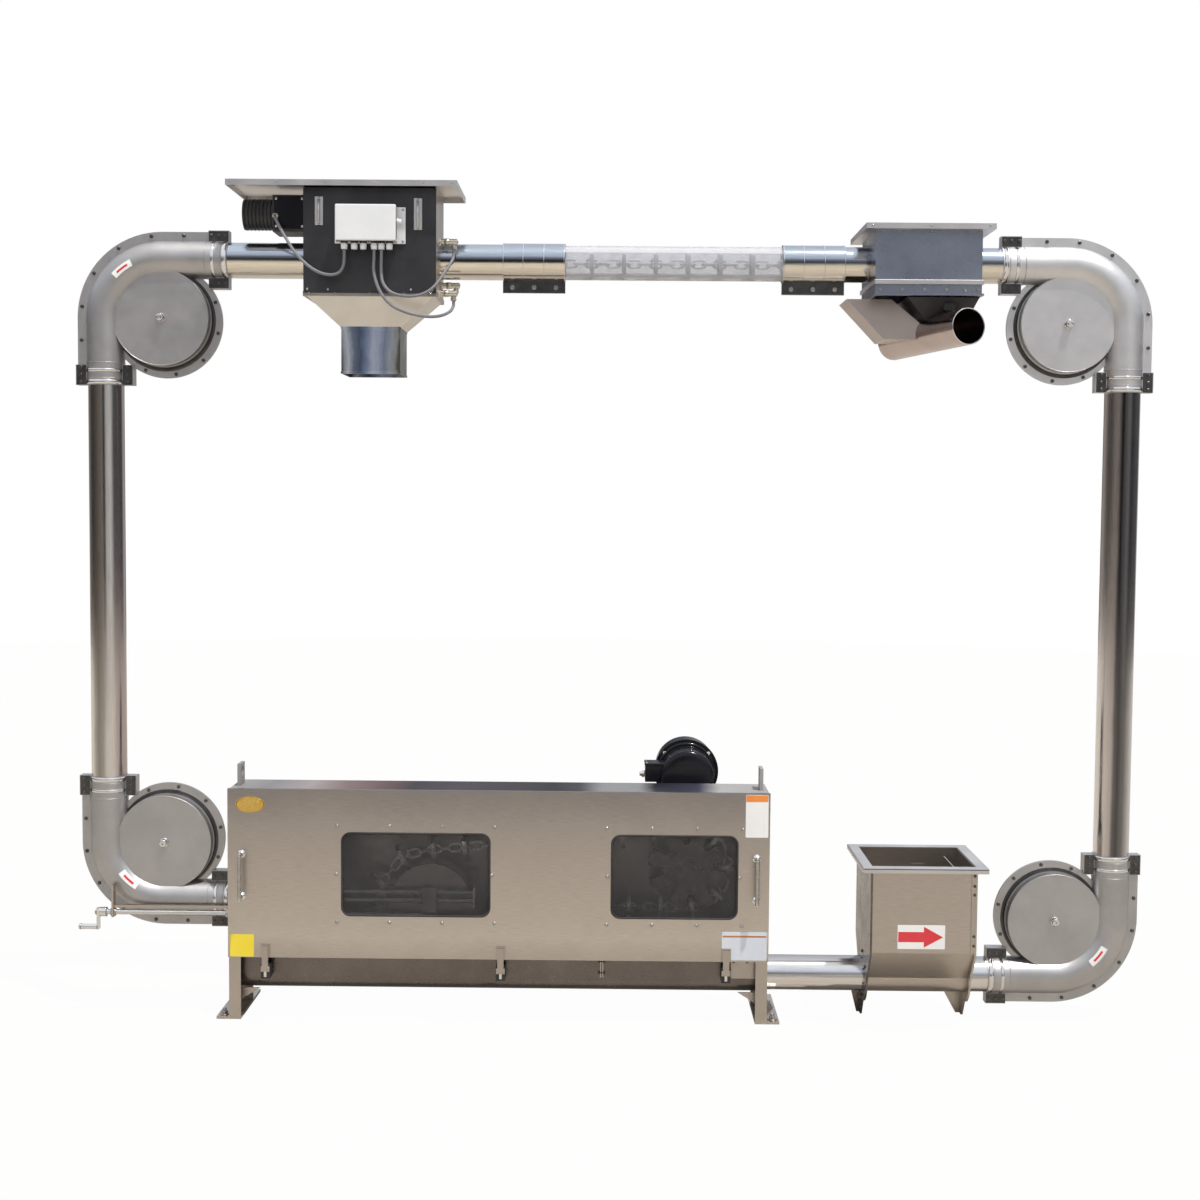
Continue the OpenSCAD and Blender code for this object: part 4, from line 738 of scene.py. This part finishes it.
# ---------------------------------------------------------------- tension screw
def tension_parts():
    rest, turning = Mesh(), Mesh()
    start = Vector((-1146, -70, 315))
    pitch, steps = 5.0, 12
    turns = int((1146 - 806) / pitch)
    line = [start + Vector((pitch * k / steps, 7.1 * math.cos(2 * math.pi * k / steps),
                            7.1 * math.sin(2 * math.pi * k / steps))) for k in range(turns * steps)]
    turning.sweep(line, 0.9, 4)
    turning.lathe((-1170, -70, 315), X, [(0, 14.3), (1, 14.3), (2.2, 13)], 28)
    turning.lathe((-1198.6, -70, 315), -X, [(-1, 9), (3, 9), (4, 7.5)], 24)
    for x in (-1247, -1197):
        turning.lathe((x, -70, 270), X, [(-1, 8.8), (0.6, 9.2), (2, 8.4)], 24)
    turning.make("tension_thread", BOLT, "crank", slot="polished_steel")
    for x, side in ((-1146, X), (-1152, -X)):
        rest.lathe((x, -70, 315), side, [(0, 11.8), (4, 11.8), (4.6, 11)], 24)
    rest.bolt((-1149, -82, 384), -Y, 4.5, 0.2)
    rest.hexagon((-805, -70, 315), -X, 24, 9, 0.1)
    for z in (359, 384):
        rest.hexagon((-800, -71, z), -X, 20, 8, 0.5)
        rest.rod((-800, -71, z), (-811, -71, z), 5, 16, chamfer=1)
    rest.make("tension_nuts", BOLT, slot="chain_steel")
    dark = Mesh()
    for z in (359, 384):
        dark.lathe((-226, -71, z), -X, [(0, 10), (6, 10), (7, 9)], 20)
        dark.lathe((-184, -71, z), X, [(0, 10), (6, 10), (7, 9)], 20)
    dark.make("tension_block_bushes", NICKEL, slot="nickel")


tension_parts()


# ---------------------------------------------------------------- motor and gear unit
def motor_parts():
    cx, cz = 566, 708
    shell, bits = Mesh(), Mesh()
    shell.lathe((cx, 100.4, cz), -Y, [(-14, 80.5), (-4, 80.5), (0, 79), (3.5, 74), (5.5, 66), (6.5, 50), (7, 1)], 64)
    for y in (110, 118, 204):
        shell.torus((cx, y, cz), Y, 80.2, 1.2, 96, 8)
    shell.lathe((cx, 208, cz), Y, [(0, 86), (7.2, 96)], 64)
    shell.box((434, 123, 739), (510, 197, 746), 2)
    shell.make("motor_shell", GLOSS_BLACK, slot="black_paint")
    for a in (40, 140, 220, 320):
        x, z = cx + 88 * math.cos(math.radians(a)), cz + 88 * math.sin(math.radians(a))
        bits.bolt((x, 215, z), -Y, 7, a)
    for x in (441, 503):
        for y in (130, 190):
            bits.dome((x, y, 746), Z, 3.4, 2.2, 12)
    bits.lathe((436, 160, 708), -X, [(-1, 11), (3, 11), (3.2, 13), (9, 13), (9.4, 9), (16, 8), (17, 4)], 6, 0.2, False)
    bits.make("motor_bolts", POLISHED, slot="polished_steel")
    ribs = Mesh()
    for z in (500, 545, 590, 635):
        ribs.box((479, 232, z), (653, 331.5, z + 7), 1.5)
    for x in (500, 632):
        ribs.box((x - 4, 236, 452), (x + 4, 331.8, 700), 1.5)
    for a in range(0, 360, 45):
        x, z = cx + 72 * math.cos(math.radians(a)), 449 + 72 * math.sin(math.radians(a))
        ribs.dome((x, 330.6, z), Y, 5, 1.4, 14)
        x, z = cx + 74 * math.cos(math.radians(a)), cz + 74 * math.sin(math.radians(a))
        ribs.dome((x, 330.6, z), Y, 5, 1.4, 14)
    ribs.lathe((cx, 330, 449), Y, [(0, 46), (1.6, 46), (1.9, 45), (1.9, 26)], 48)
    ribs.lathe((cx, 330, cz), Y, [(0, 40), (1.6, 40), (1.9, 39), (1.9, 2)], 48)
    ribs.make("gear_unit_ribs", GLOSS_BLACK, slot="black_paint")


motor_parts()


# ---------------------------------------------------------------- gate station
def gate_parts():
    screws, fittings, dark, light, plates = Mesh(), Mesh(), Mesh(), Mesh(), Mesh()
    for x, z0, z1 in ((-525, 2338, 2420), (-239, 2326, 2417)):
        plates.box((x - 12, -118, z0), (x + 12, -113.8, z1), 1.2)
        plates.rod((x, -122, z0 + 8), (x, -122, z1 - 8), 3.2, 12)
        for z in (z0 + 8, z1 - 8):
            plates.rod((x, -122, z), (x, -116, z), 3.2, 10)
            screws.dome((x, -118, z + (5 if z > 2380 else -5)), -Y, 2.8, 1.8, 10)
    plates.make("gate_panel_latches", SATIN_PAINTED_LIGHT, slot="polished_steel")
    for x in (-472, -282):
        for z in (2293, 2383):
            screws.dome((x, -118, z), -Y, 4.2, 2.6, 14)
    for x in (-460, -306):
        for z in (2297, 2380):
            screws.dome((x, -174, z), -Y, 4.6, 2.6, 14)
    for x in (-560, -500, -260, -198):
        screws.dome((x, -114, 2155), -Y, 3.6, 2.2, 12)
    for x in (-775, -640, -500, -360, -220, -138):
        screws.dome((x, -150, 2455), -Y, 3.0, 1.6, 12)
    screws.make("gate_screws", BOLT, slot="chain_steel")
    # lid of the junction box, a groove round it, glands under it
    lid = Mesh()
    lid.box((-470, -178, 2287), (-296, -168, 2390), 4, 3)
    lid.make("junction_box_lid", PLASTIC_GREY, slot="grey_plastic")
    groove = Mesh()
    for z in (2287, 2390):
        groove.rod((-466, -167, z), (-300, -167, z), 1.2, 8)
    for x in (-470, -296):
        groove.rod((x, -167, 2291), (x, -167, 2386), 1.2, 8)
    groove.make("junction_box_seal", RUBBER, slot="black_plastic")
    for i, x in enumerate((-448, -419, -393, -362, -341, -318)):
        dark.lathe((x, -144, 2289), -Z, [(0, 10.4), (6, 10.4), (6.5, 9.4)], 6, 0.3 * i, False)
        light.lathe((x, -144, 2281), -Z, [(0, 9.6), (8, 9.6), (11, 8.4), (15, 6.2), (15.4, 5)], 18)
    light.lathe((-298, -140, 2345), X, [(-1, 10), (5, 10), (5.5, 8.5), (12, 8.5), (15, 6)], 18)
    dark.make("junction_box_glands", PLASTIC_BLACK, slot="black_plastic")
    light.make("junction_box_gland_nuts", PLASTIC_GREY, slot="grey_plastic")
    # actuator: ribs, cover plate, light spot
    ribs = Mesh()
    for x in range(-756, -674, 11):
        ribs.torus((x, 0, 2384), X, 44.8, 1.6, 64, 8)
    ribs.lathe((-762.5, 0, 2384), -X, [(-6, 45.4), (0, 44), (0.4, 38)], 48)
    ribs.box((-667, -57.5, 2336), (-577, -54, 2430), 3)
    ribs.make("gate_actuator_ribs", GLOSS_BLACK, slot="black_paint")
    for x in (-660, -584):
        for z in (2343, 2423):
            fittings.dome((x, -57.2, z), -Y, 4.4, 2.4, 14)
    fittings.lathe((-662, -54, 2372), -Y, [(0, 9), (6, 9), (6.5, 7.5), (14, 7.5), (15, 5.5)], 6, 0.2, False)
    for y, z in ((-62, 2300), (10, 2182), (-70, 2150)):
        fittings.lathe((-187, y, z), X, [(0, 14), (5, 14), (5.5, 11), (10, 11)], 6, 0.2, False)
        fittings.lathe((-168, y, z), X, [(0, 10.2), (14, 10.2), (14.5, 9.2)], 20)
        fittings.lathe((-140, y, z - 12), -Z, [(0, 9.0), (8, 9.0), (9, 7.4)], 6, 0.1, False)
        fittings.dome((-131.2, y, z), X, 9.1, 4, 18)
    fittings.make("gate_fittings", NICKEL, slot="nickel")
    # bolted frame between the box and its funnel, and between funnel and spout
    frame_bar, bolts = Mesh(), Mesh()
    for y in (-112, 107):
        frame_bar.box((-573, y, 2136), (-185, y + 5, 2150), 0.8)
    for x in (-573.5, -189.5):
        frame_bar.box((x, -110, 2136), (x + 5, 110, 2150), 0.8)
    for x in (-555, -480, -379, -280, -203):
        bolts.bolt((x, -112, 2143), -Y, 4.0, x * 0.1)
        bolts.bolt((x, 112, 2143), Y, 4.0, x * 0.1)
    frame_bar.make("gate_flange", SATIN, slot="satin_steel")
    bolts.make("gate_flange_bolts", BOLT, slot="chain_steel")
    # The spout bands carry the spout's painted reflection.
    seam = Mesh()
    for x0, x1, y0, y1 in ((-467.5, -292.5, -83.5, -80), (-467.5, -292.5, 80, 83.5), (-467.5, -464, -83, 83),
                           (-296, -292.5, -83, 83)):
        seam.box((x0, y0, 2044), (x1, y1, 2052), 0.8)
        seam.box((x0, y0, 1915), (x1, y1, 1921), 0.8)
    seam.make("gate_spout_bands", SPOUT_PAINTED_REFLECTION, slot="polished_steel")


gate_parts()


def clamp_bolts():
    m, beads, strips = Mesh(), Mesh(), Mesh()
    for x0 in (0, 822):
        for k in (0.15, 0.5, 0.85):
            for s in (-1, 1):
                m.bolt((x0 + 184 * k, s * 5, 2176.7), (0, s, 0), 7, x0 + 9 * k)
        for x in (x0 + 3, x0 + 61, x0 + 122, x0 + 181):
            beads.torus((x, 0, 2250), X, 55.4, 1.3, 72, 8)
        # Painted shade: dark strips over the clamp ears.
        strips.box((x0 + 1, -5.9, 2161.5), (x0 + 183, -5.0, 2196), 0.3)
        strips.box((x0 + 1, 5.0, 2161.5), (x0 + 183, 5.9, 2196), 0.3)
    strips.make("sight_clamp_strips", SHADE_SHEET, slot="blasted_steel")
    m.make("sight_clamp_bolts", BOLT, slot="chain_steel")
    beads.make("sight_clamp_beads", POLISHED, slot="polished_steel")


clamp_bolts()


# ---------------------------------------------------------------- outlet
def outlet_parts():
    bolts, trim, knob = Mesh(), Mesh(), Mesh()
    for x in (1092, 1156, 1219, 1282, 1336, 1374):
        bolts.bolt((x, -140, 2164), -Y, 5.5, 0.2 * x)
        bolts.bolt((x, 140, 2164), Y, 5.5, 0.2 * x)
    for x in (1064, 1231, 1398):
        bolts.dome((x, -172, 2341), -Y, 3.2, 1.8, 12)
    bolts.make("outlet_bolts", BOLT, slot="chain_steel")
    for s in (-1, 1):
        y = s * 140
        trim.box((1076, min(y, y + s * 12), 2178), (1386, max(y, y + s * 12), 2191), 1.5)
    for x in (1074, 1384):
        trim.box((x, -150, 2178), (x + 4, 150, 2191), 1)
    trim.make("outlet_ledge", SATIN_PAINTED_LIGHT, slot="satin_steel")
    knob.lathe((1300, -60, 2122), -Y, [(0, 8), (26, 8), (26.5, 19), (34, 20), (42, 19), (45, 14), (46, 2)], 28)
    knob.make("outlet_knob", PLASTIC_BLACK, slot="black_plastic")
    turn, rise = math.radians(19), math.radians(1.6)
    axis = Vector((math.sin(turn) * math.cos(rise), -math.cos(turn) * math.cos(rise), math.sin(rise)))
    start = Vector((1185, 195, 2039))
    rim = Mesh()
    rim.torus(start + axis * 447.2, axis, 51, 1.5, 96, 10)
    rim.torus(start + axis * 1.2, axis, 50.6, 1.6, 72, 8)
    rim.make("discharge_rims", POLISHED, slot="polished_steel")


outlet_parts()


# ---------------------------------------------------------------- hopper
def hopper_parts():
    lip = Mesh()
    lip.box((1067, -180, 476), (1433, -177, 490), 1)
    lip.box((1067, -178, 476), (1070, 178, 490), 1)
    lip.box((1430, -178, 476), (1433, 178, 490), 1)
    lip.box((1067, 177, 484), (1433, 180, 490), 1)
    lip.make("hopper_lip", SATIN_PAINTED_LIGHT, slot="satin_steel")
    strip, bolts = Mesh(), Mesh()
    strip.box((1389, -150, 236), (1406, -147, 486), 0.8)
    strip.box((1094, -150, 236), (1103, -147, 486), 0.8)
    strip.make("hopper_strips", SATIN_UP, slot="satin_steel")
    for z in (464, 434, 408, 285, 257):
        bolts.bolt((1398, -150, z), -Y, 4.6, 0.1 * z)
    for s, x in ((-1, 1094), (1, 1406)):
        for a in range(0, 360, 60):
            y, z = 67 * math.cos(math.radians(a + 30)), 134 + 67 * math.sin(math.radians(a + 30))
            bolts.bolt((x, y, z), (s, 0, 0), 5, a)
    bolts.make("hopper_bolts", DARK_STEEL, slot="chain_steel")
    inner = Mesh()
    inner.sheet([(-128, 484), (40, 484), (-128, 330)], 3, (1340, 0, 0), plane="yz")
    inner.sheet([(1230, 478), (1268, 478), (1292, 452), (1246, 452)], 3, (0, -40, 0))
    inner.make("hopper_inner_plates", SATIN_UP, slot="satin_steel")
    plate_label("arrow_label", rounded(1175, 1314, 246, 317, 2), -147.6, 0.8, PAPER, "grey_plastic")
    mid = 281.5
    arrow = [(1177, mid - 15), (1252, mid - 15), (1252, mid - 31), (1308, mid), (1252, mid + 31), (1252, mid + 15),
             (1177, mid + 15)]
    plate_label("arrow", arrow, -148.0, 0.6, RED, "grey_plastic")


hopper_parts()


def bend_strip(name, corner, radius, angle, length, width, lift, material):
    """A thin strip along a corner's bend, centred at a radius and angle about the corner's axis."""
    cx, cz = CORNERS[corner][:2]
    half = length / radius / 2
    m, rings = Mesh(), []
    for k in range(13):
        a = math.radians(angle) - half + 2 * half * k / 12
        ring = []
        for height, order in ((lift, 1), (lift - 0.5, -1)):
            for j in range(5)[::order]:
                r = radius + width * (j / 4 - 0.5)
                y = -math.sqrt(55.3 ** 2 - (r - 172) ** 2) - height
                ring.append(m.bm.verts.new((cx + r * math.cos(a), y, cz + r * math.sin(a))))
        rings.append(ring)
    m.skin(rings, smooth=False)
    m.make(name, material, slot="grey_plastic")


for end, radius, angle in (("tl", 177, 127.6), ("bl", 151, -133.1), ("br", 163, -38.3)):
    bend_strip("corner_label_" + end, end, radius, angle, 64, 21, 0.9, PAPER)
    bend_strip("corner_label_bar_" + end, end, radius, angle, 38, 6, 1.3, RED)


# ---------------------------------------------------------------- stage
def stage_material(name, shown, reflected):
    """White to the camera, and a tone of its own to lamps, metal and glass."""
    n = Nodes(name)
    t = n.tree
    n.bsdf.inputs["Base Color"].default_value = (*reflected, 1)
    n.bsdf.inputs["Roughness"].default_value = 0.9
    path = t.nodes.new("ShaderNodeLightPath")
    glow = t.nodes.new("ShaderNodeEmission")
    glow.inputs["Color"].default_value = (*shown, 1)
    mix = t.nodes.new("ShaderNodeMixShader")
    n.link(n.math("MULTIPLY", path.outputs["Is Camera Ray"], 0.97), mix.inputs["Fac"])
    n.link(n.bsdf.outputs[0], mix.inputs[1])
    n.link(glow.outputs[0], mix.inputs[2])
    n.link(mix.outputs[0], t.nodes["Material Output"].inputs["Surface"])
    return n.mat


def make_stage():
    bm = bmesh.new()
    bmesh.ops.create_circle(bm, cap_ends=True, segments=96, radius=14)
    data = bpy.data.meshes.new("floor")
    bm.to_mesh(data)
    bm.free()
    data.materials.append(stage_material("floor", (1, 1, 1), (0.48, 0.44, 0.385)))
    floor = bpy.data.objects.new("floor", data)
    floor.location.z = -0.0005
    bpy.context.scene.collection.objects.link(floor)


def fill_ramp(node, stops):
    e = node.color_ramp.elements
    while len(e) < len(stops):
        e.new(0.5)
    for el, (pos, col) in zip(e, stops):
        el.position = pos
        el.color = (*col, 1)


def make_world():
    world = bpy.data.worlds.new("studio")
    bpy.context.scene.world = world
    world.use_nodes = True
    t = world.node_tree
    t.nodes.clear()
    out = t.nodes.new("ShaderNodeOutputWorld")
    coord = t.nodes.new("ShaderNodeTexCoord")
    split = t.nodes.new("ShaderNodeSeparateXYZ")
    t.links.new(coord.outputs["Generated"], split.inputs[0])
    ramp = t.nodes.new("ShaderNodeValToRGB")
    height = t.nodes.new("ShaderNodeMapRange")
    height.inputs["From Min"].default_value = -1
    t.links.new(split.outputs["Z"], height.inputs["Value"])
    t.links.new(height.outputs["Result"], ramp.inputs["Fac"])
    stops = [(0.0, (0.55, 0.50, 0.43)), (0.47, (0.66, 0.61, 0.53)), (0.50, (0.10, 0.10, 0.11)),
             (0.54, (0.08, 0.08, 0.10)), (0.575, (0.42, 0.48, 0.58)), (0.70, (0.82, 0.87, 0.95)),
             (1.0, (1.0, 1.0, 1.0))]
    fill_ramp(ramp, stops)
    around = t.nodes.new("ShaderNodeMapRange")
    around.inputs["From Min"].default_value = -1
    t.links.new(split.outputs["X"], around.inputs["Value"])
    sides = t.nodes.new("ShaderNodeValToRGB")
    t.links.new(around.outputs["Result"], sides.inputs["Fac"])
    fill_ramp(sides, [(0.0, (0.05, 0.045, 0.045)), (0.12, (0.24, 0.21, 0.19)), (0.36, (0.30, 0.27, 0.25)),
                      (0.43, (0.02, 0.02, 0.025)), (0.51, (0.03, 0.03, 0.035)), (0.57, (0.48, 0.47, 0.46)),
                      (0.80, (0.62, 0.61, 0.60)), (0.93, (0.07, 0.07, 0.075)), (1.0, (0.10, 0.10, 0.11))])
    level = t.nodes.new("ShaderNodeMath")
    level.operation = "ABSOLUTE"
    t.links.new(split.outputs["Z"], level.inputs[0])
    near = t.nodes.new("ShaderNodeMapRange")
    near.interpolation_type = "SMOOTHSTEP"
    near.inputs["From Min"].default_value = 0.34
    near.inputs["From Max"].default_value = 0.06
    t.links.new(level.outputs[0], near.inputs["Value"])
    blend = t.nodes.new("ShaderNodeMix")
    blend.data_type = "RGBA"
    t.links.new(near.outputs["Result"], blend.inputs[0])
    t.links.new(ramp.outputs["Color"], blend.inputs[6])
    t.links.new(sides.outputs["Color"], blend.inputs[7])
    mirror = t.nodes.new("ShaderNodeBackground")
    t.links.new(blend.outputs[2], mirror.inputs["Color"])
    soft = t.nodes.new("ShaderNodeBackground")
    soft.inputs["Color"].default_value = (0.95, 0.97, 1.0, 1)
    soft.inputs["Strength"].default_value = 0.62
    white = t.nodes.new("ShaderNodeBackground")
    white.inputs["Color"].default_value = (1, 1, 1, 1)
    path = t.nodes.new("ShaderNodeLightPath")
    by_gloss = t.nodes.new("ShaderNodeMixShader")
    t.links.new(path.outputs["Is Glossy Ray"], by_gloss.inputs["Fac"])
    t.links.new(soft.outputs[0], by_gloss.inputs[1])
    t.links.new(mirror.outputs[0], by_gloss.inputs[2])
    by_camera = t.nodes.new("ShaderNodeMixShader")
    t.links.new(path.outputs["Is Camera Ray"], by_camera.inputs["Fac"])
    t.links.new(by_gloss.outputs[0], by_camera.inputs[1])
    t.links.new(white.outputs[0], by_camera.inputs[2])
    t.links.new(by_camera.outputs[0], out.inputs["Surface"])


def lamp(name, kind, energy, place, target, size=1.0, colour=(1, 1, 1), mirrored=True):
    data = bpy.data.lights.new(name, kind)
    data.energy = energy
    data.color = colour
    if kind == "AREA":
        data.shape = "RECTANGLE"
        data.size = size
        data.size_y = size * 0.7
    else:
        data.angle = math.radians(size)
    obj = bpy.data.objects.new(name, data)
    obj.location = place
    obj.rotation_euler = (Vector(target) - Vector(place)).to_track_quat("-Z", "Y").to_euler()
    obj.visible_glossy = mirrored
    obj.visible_camera = False
    bpy.context.scene.collection.objects.link(obj)


make_stage()
make_world()
lamp("sun", "SUN", 3.0, (1.3, -1.2, 4.6), (0, 0, 0), 1.5, (1.0, 0.98, 0.95))
lamp("front", "AREA", 90, (-1.5, -6.5, 3.2), (0.3, 0, 1.2), 4.0, mirrored=False)
for name, x in (("box_left", -0.33), ("box_mid", -0.14), ("box_right", 0.42), ("box_end", 0.64)):
    lamp(name, "AREA", 2.6, (x, -0.045, 0.655), (x, 0.0, 0.40), 0.08, mirrored=False)
bpy.context.scene.view_settings.view_transform = "Standard"
